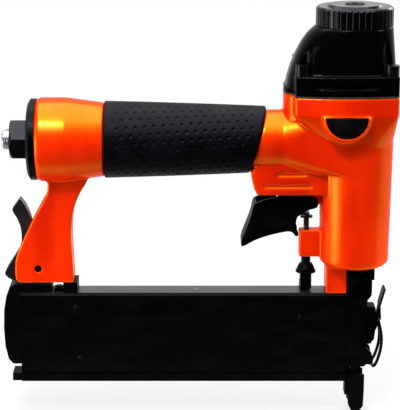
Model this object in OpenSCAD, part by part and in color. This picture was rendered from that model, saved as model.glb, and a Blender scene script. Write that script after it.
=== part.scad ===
// Air stapler and brad nailer: cast body with handle and leg, head cap with
// a turning exhaust deflector, latched nose, sprung work contact and sliding magazine.
// X runs from the handle to the nose, Y across the tool, Z up the drive axis.
// The origin is on the drive axis, at the sole of the work contact.

/* [Head] */
// Radius of the barrel at its lower end
barrel_low_r = 22; // [21.4:0.1:22.8]
// Radius of the barrel under the head flange
barrel_top_r = 23.8; // [23:0.1:24]
// Height of the barrel from its base to the cap seam
barrel_h = 113; // [107:1:123]
// Distance from the drive axis to the front of the head flange
flange_front = 25.6; // [25.4:0.2:28]
// Distance from the drive axis to the rear of the head flange
flange_rear = 39.2; // [36:0.4:42]
// Width of the head flange across the tool
flange_w = 58; // [54:0.5:64]
// Thickness of the head flange on the body
flange_t = 12.5; // [11:0.5:17]
// Corner radius of the head flange
flange_corner_r = 7; // [5:0.5:8]
// Distance from the drive axis to the back of the air duct behind the head
duct_rear = 45.2; // [43.6:0.2:49]
// Width of the air duct behind the head
duct_w = 36; // [30:0.5:40]

/* [Cap] */
// Thickness of the cap flange
cap_flange_t = 12.3; // [10:0.1:15]
// Height of the cap dome above its flange
cap_dome_h = 28.5; // [25:0.5:37]
// Thickness of the paper gasket under the cap
gasket_t = 0.8; // [0.5:0.1:1.2]
// Radius of the exhaust deflector
deflector_r = 24.2; // [21:0.2:24.6]
// Height of the exhaust deflector
deflector_h = 11.6; // [10:0.1:15]
// Number of grip flutes round the deflector
flute_n = 40; // [24:1:48]

/* [Drive] */
// Inside radius of the cylinder sleeve
cylinder_r = 16.5; // [14:0.25:16.75]
// Wall of the cylinder sleeve
cylinder_wall = 2; // [1.5:0.1:2.3]
// Thickness of the rubber bumper
bumper_t = 11; // [8:0.5:13]
// Travel of the piston
drive_stroke = 70; // [55:1:72]
// Thickness of the piston
piston_t = 12; // [9:0.5:14]
// Width of the driver blade
blade_w = 6; // [4:0.1:7]
// Thickness of the driver blade
blade_t = 1.2; // [0.9:0.05:1.4]

/* [Handle] */
// Distance from the cap seam down to the handle axis
handle_drop = 32; // [30:0.5:34]
// Distance from the drive axis to the rear face of the cast handle
handle_rear = 200.7; // [190:0.5:212]
// Radius of the cast handle at its rear face
handle_rear_r = 26.6; // [25:0.2:28]
// Radius of the handle neck beside the head
neck_r = 19; // [18:0.25:20]
// Outer radius of the grip sleeve at its rear end
grip_rear_r = 24.4; // [22.5:0.1:25]
// Outer radius of the grip sleeve at its front end
grip_front_r = 21.2; // [20:0.1:22]
// Length of the grip sleeve along its top
grip_len = 102; // [92:1:110]
// Wall of the grip sleeve
grip_wall = 3.4; // [2.4:0.1:4]
// Radius of the air reservoir in the handle
reservoir_r = 13; // [11.5:0.25:14]
// Thickness of the rear cap
rear_cap_t = 5.2; // [4:0.2:8]
// Width of the inlet bushing across its flats
bushing_af = 24; // [21:0.5:27]
// Length of the inlet bushing's hexagon
bushing_len = 11.6; // [9:0.2:16]
// Radius of the air plug's thread
plug_r = 6.58; // [6:0.01:8.5]
// Length of the air plug outside the bushing
plug_len = 5.1; // [4:0.1:14]
// Radius of the air passage through the plug
plug_bore_r = 3.5; // [2:0.1:4]

/* [Leg] */
// Length of the leg along the tool
leg_len = 36; // [34:0.5:40]
// Width of the leg across the tool
leg_w = 19; // [18:0.5:22]
// Overhang of the leg behind the cast handle
leg_overhang = 13.3; // [12:0.1:14.5]
// Gap between the leg and the magazine
leg_gap = 7; // [6:0.1:8]

/* [Trigger] */
// Length of the trigger
trigger_len = 49; // [46:0.5:53]
// Height of the trigger
trigger_h = 32.6; // [31.4:0.2:35]
// Width of the trigger
trigger_w = 19; // [18:0.25:20.5]
// Wall of the trigger's sides
trigger_wall = 2.4; // [1.8:0.1:2.6]
// Radius of the trigger pin
trigger_pin_r = 1.5; // [1.2:0.05:1.9]
// Width of the cast trigger block
block_w = 28; // [26:0.5:32]
// Distance from the cap seam down to the underside of the trigger block
block_drop = 65.3; // [64:0.1:67]

/* [Work contact] */
// Distance from the drive axis to the contact rod
rod_x = 29.4; // [29:0.1:30.4]
// Radius of the contact rod
rod_r = 1.75; // [1.4:0.05:2]
// Upward travel of the work contact
contact_travel = 5; // [3:0.25:5.25]
// Radius of the depth wheel's rim
wheel_r = 6.4; // [5.5:0.1:7.2]
// Height of the depth wheel's bell
wheel_h = 5.8; // [4:0.1:6.2]
// Thickness of the contact's sheet steel
contact_t = 1.6; // [1.2:0.1:1.8]
// Height of the contact foot
foot_h = 26; // [22:0.5:26.5]

/* [Nose] */
// Height of the nose block between the magazine and the barrel
nose_block_h = 18; // [17:0.5:22]
// Length of the nose block in front of the drive axis
nose_front = 12.8; // [11.5:0.1:15]
// Thickness of the rear driver guide
guide_t = 2.25; // [1.8:0.05:3]
// Thickness of the nose door
door_t = 4.3; // [3.6:0.1:4.8]
// Thickness of the nose's side plates
cheek_t = 2; // [1.6:0.1:2.2]
// Radius of the wire of the latch bail
bail_wire_r = 1.05; // [0.8:0.05:1.2]

/* [Magazine] */
// Height of the magazine
mag_h = 60; // [58:0.5:64]
// Width of the magazine
mag_w = 16; // [15.5:0.1:17]
// Height of the magazine's underside above the sole
mag_rise = 22; // [21:0.5:23]
// Wall of the sliding magazine channel
mag_wall = 1.6; // [1.2:0.1:1.9]
// Thickness of the fixed rail's top plate
rail_t = 2.2; // [1.6:0.1:3]
// Width of the rail's core
core_w = 5.2; // [4.6:0.1:5.8]
// Length of the pusher
pusher_len = 16; // [10:0.5:24]
// Thickness of the magazine's end cap
end_cap_t = 10.8; // [9:0.2:13]
// Width of the magazine latch
latch_w = 8; // [6:0.25:8.5]

/* [Hidden] */
$fn = 64;
// Overrun of every cut
over = 1;
// Clearance between pieces that move past each other
run_gap = 0.3;
// Radial clearance of a pin, shaft or plug in its hole
pin_gap = 0.05;
// Share of a side that each softening pass cuts from a corner
corner_cut_share = 0.25;

body_orange = "#f4600c";
cap_black = "#15161a";
satin_black = "#1b1b1d";
rubber_black = "#26272a";
steel = "#b9bcc0";
dark_steel = "#6f7276";
paper = "#8c7a5a";

// Levels
mag_top_z = mag_rise + mag_h;
barrel_base_z = mag_top_z + nose_block_h;
seam_z = barrel_base_z + barrel_h;
body_top_z = seam_z - gasket_t;
handle_z = seam_z - handle_drop;
block_z = seam_z - block_drop;
half_mag = mag_w / 2;
half_flange = flange_w / 2;
flange_low_z = seam_z - flange_t;

// Barrel, whose outside stands a little in front of its bore, and cylinder
barrel_x = 1.5;
barrel_chamfer = 2.4;
barrel_floor_t = 6;
barrel_floor_z = barrel_base_z + barrel_floor_t;
sleeve_r = cylinder_r + cylinder_wall;
bore_r = sleeve_r + pin_gap;
sleeve_drop = 0.8;
sleeve_top_z = body_top_z - sleeve_drop;
bumper_top_z = barrel_floor_z + bumper_t;
piston_top_gap = 12.1;
piston_rest_z = sleeve_top_z - piston_top_gap - piston_t;
blade_end_z = mag_rise / 2;
blade_rest_z = blade_end_z + drive_stroke;
blade_slot_t = blade_t + 2 * run_gap;
blade_slot_w = blade_w + 2 * run_gap;

// Head valve
valve_chamber_h = 24;
chamber_r = sleeve_r + run_gap;
valve_rest_z = sleeve_top_z + run_gap;
valve_top_z = valve_rest_z + valve_chamber_h / 2;
head_valve_r = sleeve_r - run_gap;
head_spring_share = 0.7;
head_spring_r = head_valve_r * head_spring_share;
head_spring_wall = 2.5;

// Head screws
screw_inset = 4.7;
screw_bow_share = 0.72;
screw_r = 2.5;
screw_head_r = 4.3;
screw_head_h = 6.6;
screw_socket_r = 2.3;
screw_socket_h = 3.4;
screw_pocket_r = 5.9;
screw_depth = 12;
funnel_drop = 22;
funnel_t = 1;

// Bowed sides of the head flange
flange_bow = 4;
flange_mid_x = (flange_front - flange_rear) / 2;
flange_half_len = (flange_front + flange_rear) / 2;
flange_bow_r = (flange_half_len * flange_half_len + flange_bow * flange_bow) / (2 * flange_bow);
screw_side = half_flange - screw_inset - screw_bow_share * flange_bow;

// Head duct
duct_corner_r = 14;
duct_overlap = 26;
duct_block_drop = 17;
duct_disc_t = 2;
duct_barrel_r = barrel_low_r + barrel_chamfer / 2;

// Head badge, a half disc below the flange on the near side
badge_x = -7;
badge_r = 14.8;
badge_rim = 1.3;
badge_rise = 0.9;
badge_sink = 8;
badge_tilt = atan((half_flange - barrel_top_r) / funnel_drop);

// Cap
lip_t = 3.5;
cap_flange_z = seam_z + cap_flange_t;
dome_low_z = seam_z + lip_t;
dome_top_z = cap_flange_z + cap_dome_h;
dome_margin = 1;
dome_side_margin = 3;
dome_rear = duct_rear - dome_margin;
dome_front = flange_front;
dome_side = half_flange - dome_side_margin;
dome_sides = 48;
// Rings of the dome: share of its height, share of its overhang past the deflector
dome_shares = [[0, 1], [0.12, 0.955], [0.33, 0.84], [0.52, 0.69], [0.73, 0.48], [0.86, 0.3],
    [0.94, 0.145], [1, 0]];
dome_square_low = 3.4;
dome_square_top = 2;
flange_groove_h = 3;
flange_groove_depth = 2.4;
flange_groove_front_share = 0.5;
flange_groove_rear_share = 0.71;
exhaust_hole_r = 3.4;
exhaust_hole_ring_r = 10;
exhaust_hole_n = 6;

// Deflector
deflector_x = -1.2;
deflector_z = dome_top_z + run_gap;
deflector_wall = 3;
deflector_roof = 3.6;
deflector_disc_r = 17.5;
deflector_disc_h = 1.2;
deflector_edge = 1.2;
deflector_hub_r = 7;
flute_r = 1.1;
flute_depth = 0.6;
exhaust_slot_w = 20;
exhaust_slot_h = 5;
exhaust_slot_lift = 1.8;
deflector_top_z = deflector_z + deflector_h;
deflector_screw_r = 2.9;
deflector_screw_head_r = 6;
deflector_screw_head_h = 1.9;
deflector_screw_depth = 9;

// Handle along X
rear_x = -handle_rear;
neck_len = 10.7;
grip_front_x = -duct_rear - neck_len;
grip_rear_x = grip_front_x - grip_len;
grip_slant = 10.2;
grip_tilt = atan(grip_slant / (2 * grip_front_r));
grip_edge = 1.4;
grip_step = 1;
shoulder_share = 0.44;
shoulder_x = rear_x + shoulder_share * (grip_rear_x - rear_x);
handle_edge = 2.6;
core_rear_r = grip_rear_r - grip_wall;
core_front_r = grip_front_r - grip_wall;
reservoir_stop = 18;
cut_span = 2 * handle_rear;

// Rear cap and inlet
rear_cap_edge = 1.6;
rear_cap_spigot = 5;
spigot_r = reservoir_r - pin_gap;
bushing_shank_r = 9.2;
bushing_turn = 19;
bushing_chamfer = 2.2;
plug_shank_r = 5.2;
plug_shank_len = 9;
bushing_end_x = rear_x - rear_cap_t - bushing_len;

// Trigger block of the casting
block_tail = 20.4;
block_tail_x = -duct_rear - block_tail;
block_sink = 6.5;
block_front_x = barrel_x - barrel_low_r + block_sink;
block_rise = 23.8;
// Outline of the trigger block: shares of its length and height
block_shares = [[0.08, 0], [0.036, 0.2], [0, 0.56], [0.116, 1], [1, 1], [1, 0]];
groove_n = 3;
groove_h = 2.2;
groove_depth = 1.1;
groove_pitch = 7.4;
groove_low = 4.6;
groove_rear = 7.6;
groove_reach = 39.4;
groove_rear_step = 8.3;
groove_front_step = 3.65;
// Pocket under the block for the top of the trigger
trigger_pocket_h = 1.6;
trigger_pocket_back = 32;
trigger_pocket_half = trigger_w / 2 + 2 * run_gap;

// Trigger, its pin and the lever in it
trigger_pin_drop = 5.7;
trigger_pin_x = -25;
trigger_pin_z = block_z - trigger_pin_drop;
trigger_nose = 2.4;
trigger_over = 4;
trigger_tip_x = trigger_pin_x + trigger_nose - trigger_len;
trigger_low_z = trigger_pin_z + trigger_over - trigger_h;
// Outline of the trigger: shares of its length and height
trigger_shares = [
    [0.178, 0.862], [0.402, 0.97], [0.543, 1], [0.93, 1], [1, 0.93], [1, 0.8], [0.96, 0.755],
    [0.878, 0.736], [0.769, 0.623], [0.724, 0.583], [0.712, 0.383], [0.76, 0.242], [0.718, 0.175],
    [0.663, 0.313], [0.498, 0.27], [0.316, 0.2], [0.171, 0.113], [0.045, 0], [0, 0], [0.016, 0.144],
    [0.133, 0.595], [0.159, 0.794]
];
// Trough inside the trigger, open above and at the front
trough_shares = [[0.2, 1.1], [0.2, 0.32], [0.64, 0.46], [0.68, -0.1], [1.1, -0.1], [1.1, 1.1]];
trough_half = trigger_w / 2 - trigger_wall;
ear_t = 2.6;
ear_r = 3.6;
ear_outer = trough_half - run_gap;
ear_inner = ear_outer - ear_t;
trip_pin_back = 33;
trip_pin_drop = 4.4;
trip_pin_r = 1;
trip_pin_x = trigger_pin_x - trip_pin_back;
trip_pin_z = trigger_pin_z - trip_pin_drop;
trip_half = ear_inner - 2 * run_gap;
trip_t = 2;
trip_front_x = -rod_x + rod_r;
trip_boss_r = 2.4;

// Trigger valve
valve_back = 22;
valve_x = trigger_pin_x - valve_back;
valve_r = 5.4;
valve_depth = 24;
valve_pocket_r = 4;
valve_pocket_low = 13.5;
valve_pocket_high = 22.5;
stem_r = 2;
stem_drop = 8;
stem_top = 18;
stem_collar_r = 3.6;
stem_collar_low = 14.6;
stem_collar_h = 3;

// Work contact
lug_lift = 5;
lug_low_z = barrel_base_z + lug_lift;
lug_h = 17.5;
lug_r = 4.8;
lug_corner_r = 1.6;
lug_bore_r = rod_r + 2 * pin_gap;
spring_wall = 1.2;
lug_counter_r = rod_r + spring_wall + 3 * run_gap;
lug_counter_spare = 4;
lug_counter_h = contact_travel + lug_counter_spare;
wheel_neck_r = rod_r + spring_wall;
wheel_low_z = lug_low_z - contact_travel - run_gap - wheel_h;
wheel_rim_h = 1.5;
wheel_neck_in = 1;
spring_low_z = lug_low_z + wheel_neck_in + run_gap;
spring_top_z = lug_low_z + lug_counter_h;
wheel_bell_share = 0.88;
wheel_flute_n = 18;
wheel_flute_r = 0.8;
rod_top_drop = 6.1;
rod_top_z = trip_pin_z - rod_top_drop;
rod_head_reach = 3.8;
rod_head_t = 1.5;
rod_head_half = 1.5;
post_front = 3.6;
post_half = 3.6;
post_top_z = wheel_low_z - run_gap;
bridge_gap = 1.5;
bridge_t = 3;
bridge_low_z = mag_top_z + bridge_gap;
arm_gap = 0.4;
arm_y = half_mag + arm_gap;
arm_out_y = arm_y + contact_t;
door_narrow_half = 5.2;
foot_inner = door_narrow_half + run_gap;
foot_outer = foot_inner + contact_t;
foot_x = -0.9;
foot_len = 10.3;
// Outline of a foot cheek: shares of its length and height
foot_shares = [[0, 1], [0, 0.23], [0.26, 0], [0.65, 0], [0.96, 0.17], [1, 0.6], [1, 1]];
foot_bar_shares = [[0.5, 0.02], [0.66, 0.02], [0.93, 0.17], [0.78, 0.19]];
// Outline of the contact arm from the foot to the bridge: shares of its reach and rise
arm_shares = [
    [1, 0], [1, 0.26], [0.63, 0.5], [0.173, 0.88], [0.173, 1], [0, 1], [0, 0.87], [0.5, 0.44],
    [0.8, 0.22], [0.8, 0]
];
arm_front = 8.5;
arm_rear_x = -rod_x - post_front;
arm_low_z = 14;
arm_jog_h = 6;
arm_jog_back = 7.5;

// Nose
channel_half = blade_t / 2 + run_gap;
guide_rear_x = -channel_half - guide_t;
guide_low_z = 11.7;
narrow_z = 32;
nose_rear = 3.5;
nose_half = 10;
front_leg_t = 13.4;
front_leg_x = -nose_rear - front_leg_t;
nose_lip = 1.4;
nose_lip_h = 9;
door_half = 5.8;
cheek_inner = door_half + run_gap;
cheek_outer = cheek_inner + cheek_t;
door_pin_x = 6;
door_pin_drop = 5.5;
door_pin_z = mag_top_z - door_pin_drop;
door_pin_r = 1.5;
knuckle_r = 3.2;
door_low_z = 12.3;
door_x = channel_half;
door_front_x = door_x + door_t;
// Outline of a side plate: shares of its length and height
cheek_front = nose_front - guide_rear_x;
cheek_h = mag_top_z - narrow_z;
cheek_shares = [
    [0, 0], [0, 1], [1, 1], [1, 0.96], [0.85, 0.9], [0.81, 0.76], [0.81, 0.26], [1.06, 0.18],
    [1.12, 0.08], [1.02, 0.024], [0.85, 0.03], [0.76, 0]
];
nose_screw_r = 1.5;
nose_screw_head_r = 2.7;
nose_screw_head_h = 1.4;
nose_screw_depth = 5;
nose_screw_inset = 4;
nose_screw_lift = 9.5;

// Nose latch
lever_pin_x = 14.6;
lever_pin_z = 57.5;
lever_pin_r = 1.3;
lever_boss_r = 2.7;
lever_half = 3.2;
ear_latch_t = 1.7;
latch_base_front = 12;
latch_ear_low_z = 46.5;
latch_ear_h = 24;
latch_ear_len = 11.6;
// Outline of the latch ears: shares of their length and height
latch_ear_shares = [[-0.1, 0.02], [0.67, 0], [0.88, 0.14], [0.94, 0.4], [0.94, 0.99], [0.86, 1.05],
    [-0.1, 1.05]];
latch_ear_half = lever_half + run_gap + ear_latch_t;
bail_pin_x = 17.6;
bail_pin_z = 63.5;
lever_t = 1.2;
lever_waist_x = 18;
lever_waist_z = 72.5;
lever_tip_x = 21.6;
lever_tip_z = 83.2;
lever_tab_half = 5.6;
lever_tab_z = 69;
bail_half = 6.9;
bail_bar_x = 14.9;
bail_bar_z = 31;
bail_belly = 4;
bail_end = 2.4;
bail_sides = 10;
// Side wire of the bail: share of the way down to the cross bar, share of its belly
bail_shares = [[0, 0], [0.3, 0.8], [0.58, 1], [0.88, 0.55], [1, 0]];

// Magazine
core_gap = 5;
core_low_z = mag_rise + core_gap;
rail_low_z = mag_top_z - rail_t;
rail_overhang = 12.3;
rail_rear_x = rear_x - rail_overhang;
rail_front_x = guide_rear_x;
tail_len = 6;
tail_lift = 0.2;
tail_h = 5;
slide_front_x = guide_rear_x - run_gap;
slide_rear_x = rail_rear_x - run_gap;
slide_top_z = rail_low_z - run_gap;
slide_bead_z = 5;
slide_bead_h = 1.4;
slide_bead_depth = 0.5;
end_cap_lift = 12;
end_cap_low_z = mag_rise + end_cap_lift;
end_cap_drop = 1.6;
end_cap_top_z = mag_top_z + leg_gap - end_cap_drop;
end_cap_h = end_cap_top_z - end_cap_low_z;
// Outline of the end cap: shares of its thickness and height, from its inner face
end_cap_shares = [
    [0, 0], [0.5, 0], [0.76, 0.06], [0.94, 0.22], [1, 0.45], [0.96, 0.68], [0.82, 0.85],
    [0.6, 0.97], [0.3, 1], [0, 1]
];
pusher_x = -52;
pusher_floor = 1.8;

// Leg, magazine latch and rail bracket
leg_x = rear_x - leg_overhang;
leg_low_z = mag_top_z + leg_gap;
leg_sink = 2;
leg_h = handle_z - handle_rear_r + leg_sink - leg_low_z;
leg_front_share = 0.989;
// Outline of the leg: shares of its length and height
leg_shares = [
    [0.06, 0], [0.01, 0], [-0.04, 0.025], [-0.047, 0.06], [-0.047, 0.147], [-0.033, 0.242],
    [0.069, 0.371], [0.175, 0.495], [0.283, 0.615], [0.458, 0.782], [0.544, 0.866], [0.558, 0.955],
    [0.558, 1.15], [1.35, 1.15],
    [1.26, 0.985], [1.128, 0.88], [1.036, 0.765], [0.978, 0.645], [0.953, 0.47], [0.967, 0.27],
    [leg_front_share, 0.03], [leg_front_share, 0], [0.94, 0]
];
latch_slot_gap = 0.4;
latch_pin_in = 13;
latch_pin_rise = 9.3;
latch_pin_r = 2;
latch_pin_x = leg_x + latch_pin_in;
latch_pin_z = leg_low_z + latch_pin_rise;
latch_boss_r = 5;
latch_slot_len = 22;
latch_slot_h = 57;
latch_len = 25;
latch_h = 54.8;
latch_back = 22.3;
latch_low = 10.2;
// Outline of the magazine latch: shares of its length and height, from its lower rear corner
latch_shares = [
    [0.425, 1], [0.32, 0.93], [0.24, 0.883], [0.27, 0.84], [0.368, 0.77], [0.468, 0.642], [0.468, 0.451],
    [0.272, 0.31], [0.02, 0.13], [0.02, 0.075], [0.272, 0.002], [0.47, 0.03], [0.8, 0.06], [1.02, 0.24],
    [0.86, 0.45], [0.76, 0.62], [0.72, 0.755], [0.616, 0.896], [0.46, 1]
];
bracket_x = leg_x + leg_front_share * leg_len;
bracket_lip = 2.2;
bracket_back = 6.8;
bracket_inset = 1;
bracket_half = leg_w / 2 - bracket_inset;
toe_len = 6.5;
toe_t = 1.8;
toe_half = 4;
catch_gap = 1.104;
catch_front_x = bracket_x - bracket_back - toe_len - catch_gap;
bracket_screw_r = 1.3;
bracket_screw_in = 4;
bracket_screw_head_r = 1.9;
bracket_screw_head_h = 1.2;

// Outline whose corners are cut again and again until they are round
function soften(p, n) = n == 0 ? p : soften([
    for (i = [0:len(p) - 1])
        let (a = p[i], b = p[(i + 1) % len(p)])
        each [a + (b - a) * corner_cut_share, b + (a - b) * corner_cut_share]
], n - 1);
// Shares of a box, as points inside it
function in_box(shares, x, z, length, height) =
    [for (s = shares) [x + s[0] * length, z + s[1] * height]];
// Open path whose corners are cut again and again until they are round
function soften_path(p, n) = n == 0 ? p : soften_path([
    p[0],
    for (i = [0:len(p) - 2])
        each [p[i] + (p[i + 1] - p[i]) * corner_cut_share, p[i + 1] + (p[i] - p[i + 1]) * corner_cut_share],
    p[len(p) - 1]
], n - 1);
function unit(v) = v / norm(v);
// Round of points about a path point, square to the way the path runs
function ring(centre, along, r, sides) = let (
    side = unit(cross(along, [1, 0, 0])),
    up = cross(along, side)
) [for (k = [0:sides - 1]) centre + r * (cos(360 * k / sides) * side - sin(360 * k / sides) * up)];
// Triangles of a tube of rings, with both ends closed
function tube_faces(rings, sides) = [
    for (i = [0:rings - 2], k = [0:sides - 1])
        let (a = i * sides + k, b = i * sides + (k + 1) % sides)
        each [[a, b, b + sides], [a, b + sides, a + sides]],
    [for (k = [sides - 1:-1:0]) k],
    [for (k = [0:sides - 1]) (rings - 1) * sides + k]
];

// Block between two corners
module block(low, high) {
    translate(low) cube(high - low);
}
// Outline in X and Z, drawn out across the tool to both sides
module across(points, half_w) {
    rotate([90, 0, 0]) translate([0, 0, -half_w]) linear_extrude(2 * half_w) polygon(points);
}
// Outline in X and Z as a plate between two Y positions
module plate(points, y_low, y_high) {
    translate([0, y_high, 0]) rotate([90, 0, 0]) linear_extrude(y_high - y_low) polygon(points);
}
// Pin or hole across the tool
module cross_pin(x, z, r, half_w) {
    translate([x, 0, z]) rotate([90, 0, 0]) cylinder(h = 2 * half_w, r = r, center = true);
}
// Upright pin or hole
module upright(x, y, z_low, z_high, r) {
    translate([x, y, z_low]) cylinder(h = z_high - z_low, r = r);
}
// Turned shape on the handle axis, from points of radius and X
module turned(points) {
    translate([0, 0, handle_z]) rotate([0, 90, 0]) rotate_extrude() polygon(points);
}
// Rectangle with round corners, from square and round pieces
module round_rect(x_low, x_high, half_w, r) {
    translate([x_low + r, -half_w]) square([x_high - x_low - 2 * r, 2 * half_w]);
    translate([x_low, r - half_w]) square([x_high - x_low, 2 * (half_w - r)]);
    for (x = [x_low + r, x_high - r], side = [-1, 1])
        translate([x, side * (half_w - r)]) circle(r);
}
// Plan of the head flange, with bowed sides
module flange_plan() {
    intersection() {
        round_rect(-flange_rear, flange_front, half_flange, flange_corner_r);
        translate([flange_mid_x, half_flange - flange_bow_r]) circle(flange_bow_r, $fn = 4 * $fn);
        translate([flange_mid_x, flange_bow_r - half_flange]) circle(flange_bow_r, $fn = 4 * $fn);
    }
}
// Plan of the head flange with the duct behind it
module head_plan() {
    flange_plan();
    round_rect(-duct_rear, duct_overlap - flange_rear, duct_w / 2, duct_corner_r);
}
// The four places of the head screws
module at_head_screws() {
    for (x = [screw_inset - flange_rear, flange_front - screw_inset], side = [-1, 1])
        translate([x, side * screw_side, 0]) children();
}
// Space behind the slanted front end of the grip sleeve
module grip_space(gap) {
    translate([grip_front_x - grip_slant / 2 + gap, 0, handle_z]) rotate([0, grip_tilt, 0])
        translate([-cut_span, -cut_span / 2, -cut_span / 2]) cube(cut_span);
}
// Half disc of the head badge, laid on the slope below the flange on the near side
module badge(r, low, high) {
    translate([badge_x, -half_flange, flange_low_z]) rotate([90 - badge_tilt, 0, 0]) translate([0, 0, low])
        linear_extrude(high - low) intersection() {
            circle(r);
            translate([-badge_r, -badge_r]) square([2 * badge_r, badge_r]);
        }
}

module barrel() {
    upright(barrel_x, 0, flange_low_z, body_top_z, barrel_top_r);
    translate([barrel_x, 0, barrel_base_z])
        cylinder(h = barrel_chamfer, r1 = barrel_low_r - barrel_chamfer, r2 = barrel_low_r);
    translate([barrel_x, 0, barrel_base_z + barrel_chamfer])
        cylinder(h = flange_low_z - barrel_base_z - barrel_chamfer, r1 = barrel_low_r, r2 = barrel_top_r);
}
// Flange, drawn in below to the round of the barrel
module head_flange() {
    translate([0, 0, flange_low_z]) linear_extrude(body_top_z - flange_low_z) flange_plan();
    hull() {
        translate([0, 0, flange_low_z]) linear_extrude(funnel_t) flange_plan($fn = 32);
        upright(barrel_x, 0, flange_low_z - funnel_drop, flange_low_z, barrel_top_r - funnel_t, $fn = 32);
    }
    badge(badge_r, -badge_sink, badge_rise);
}
// Duct that carries the air from the handle to the head
module head_duct() {
    translate([0, 0, seam_z - duct_block_drop]) linear_extrude(duct_block_drop - gasket_t)
        round_rect(-duct_rear, duct_overlap - flange_rear, duct_w / 2, duct_corner_r);
    hull() {
        translate([-duct_rear, 0, handle_z]) rotate([0, 90, 0]) cylinder(h = duct_disc_t,
            r = neck_r, $fn = 40);
        translate([0, 0, handle_z - neck_r]) cylinder(h = 2 * neck_r, r = duct_barrel_r, $fn = 40);
    }
}
module handle_core() {
    turned([
        [0, rear_x], [handle_rear_r - handle_edge / 2, rear_x], [handle_rear_r, rear_x + handle_edge],
        [handle_rear_r, shoulder_x], [grip_rear_r - grip_step, grip_rear_x - run_gap],
        [core_rear_r, grip_rear_x - run_gap], [core_front_r, grip_front_x],
        [core_front_r, -duct_rear], [0, -duct_rear]
    ]);
}
// Neck and trigger block, both cut back to the slanted end of the grip sleeve
module neck_and_block() {
    block_l = block_front_x - block_tail_x;
    difference() {
        union() {
            turned([[0, block_tail_x], [neck_r, block_tail_x], [neck_r, over - duct_rear],
                [0, over - duct_rear]]);
            difference() {
                across(in_box(block_shares, block_tail_x, block_z, block_l, block_rise), block_w / 2);
                for (side = [-1, 1], k = [0:groove_n - 1])
                    translate([0, side * block_w / 2, block_z + groove_low + k * groove_pitch])
                        block(
                            [block_tail_x + groove_rear + k * groove_rear_step, -groove_depth, 0],
                            [block_tail_x + groove_reach - k * groove_front_step, groove_depth, groove_h]
                        );
                block(
                    [trigger_pin_x - trigger_pocket_back, -trigger_pocket_half, block_z - over],
                    [block_front_x + over, trigger_pocket_half, block_z + trigger_pocket_h]
                );
            }
        }
        grip_space(run_gap);
    }
}
// Ears that carry the trigger pin
module trigger_ears() {
    difference() {
        union() {
            cross_pin(trigger_pin_x, trigger_pin_z, ear_r, ear_outer);
            block(
                [trigger_pin_x - ear_r, -ear_outer, trigger_pin_z],
                [block_front_x, ear_outer, block_z + trigger_pocket_h + over]
            );
        }
        block(
            [trigger_pin_x - ear_r - over, -ear_inner, trigger_pin_z - ear_r - over],
            [block_front_x + over, ear_inner, block_z + trigger_pocket_h]
        );
    }
}
module contact_lug() {
    translate([0, 0, lug_low_z]) linear_extrude(lug_h)
        round_rect(-rod_x - lug_r, block_front_x, lug_r, lug_corner_r);
}
module main_body() {
    color(body_orange) difference() {
        union() {
            barrel();
            head_flange();
            head_duct();
            handle_core();
            neck_and_block();
            trigger_ears();
            contact_lug();
            block([front_leg_x, -nose_half, mag_top_z],
                [-nose_rear, nose_half, barrel_base_z + barrel_chamfer]);
            across(soften(in_box(leg_shares, leg_x, leg_low_z, leg_len, leg_h), 1), leg_w / 2);
        }
        upright(0, 0, barrel_floor_z, body_top_z + over, bore_r);
        block(
            [-blade_slot_t, -blade_slot_w / 2 - run_gap, barrel_base_z - over],
            [blade_slot_t, blade_slot_w / 2 + run_gap, barrel_floor_z + over]
        );
        at_head_screws() upright(0, 0, body_top_z - screw_depth, body_top_z + over, screw_r + pin_gap);
        turned([
            [0, rear_x - over], [reservoir_r, rear_x - over],
            [reservoir_r, grip_front_x - reservoir_stop], [0, grip_front_x - reservoir_stop]
        ]);
        upright(valve_x, 0, block_z - over, block_z + valve_depth, valve_r + pin_gap);
        cross_pin(trigger_pin_x, trigger_pin_z, trigger_pin_r + pin_gap, ear_outer + over);
        upright(-rod_x, 0, lug_low_z - over, rod_top_z, lug_bore_r);
        upright(-rod_x, 0, lug_low_z - over, lug_low_z + lug_counter_h, lug_counter_r);
        block(
            [leg_x - 3 * over, -latch_w / 2 - latch_slot_gap, leg_low_z - over],
            [leg_x + latch_slot_len, latch_w / 2 + latch_slot_gap, leg_low_z + latch_slot_h]
        );
        cross_pin(latch_pin_x, latch_pin_z, latch_pin_r + pin_gap, leg_w);
        leg_screw_hole();
        badge(badge_r - badge_rim, badge_rise / 2, badge_rise + over);
    }
}

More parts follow.
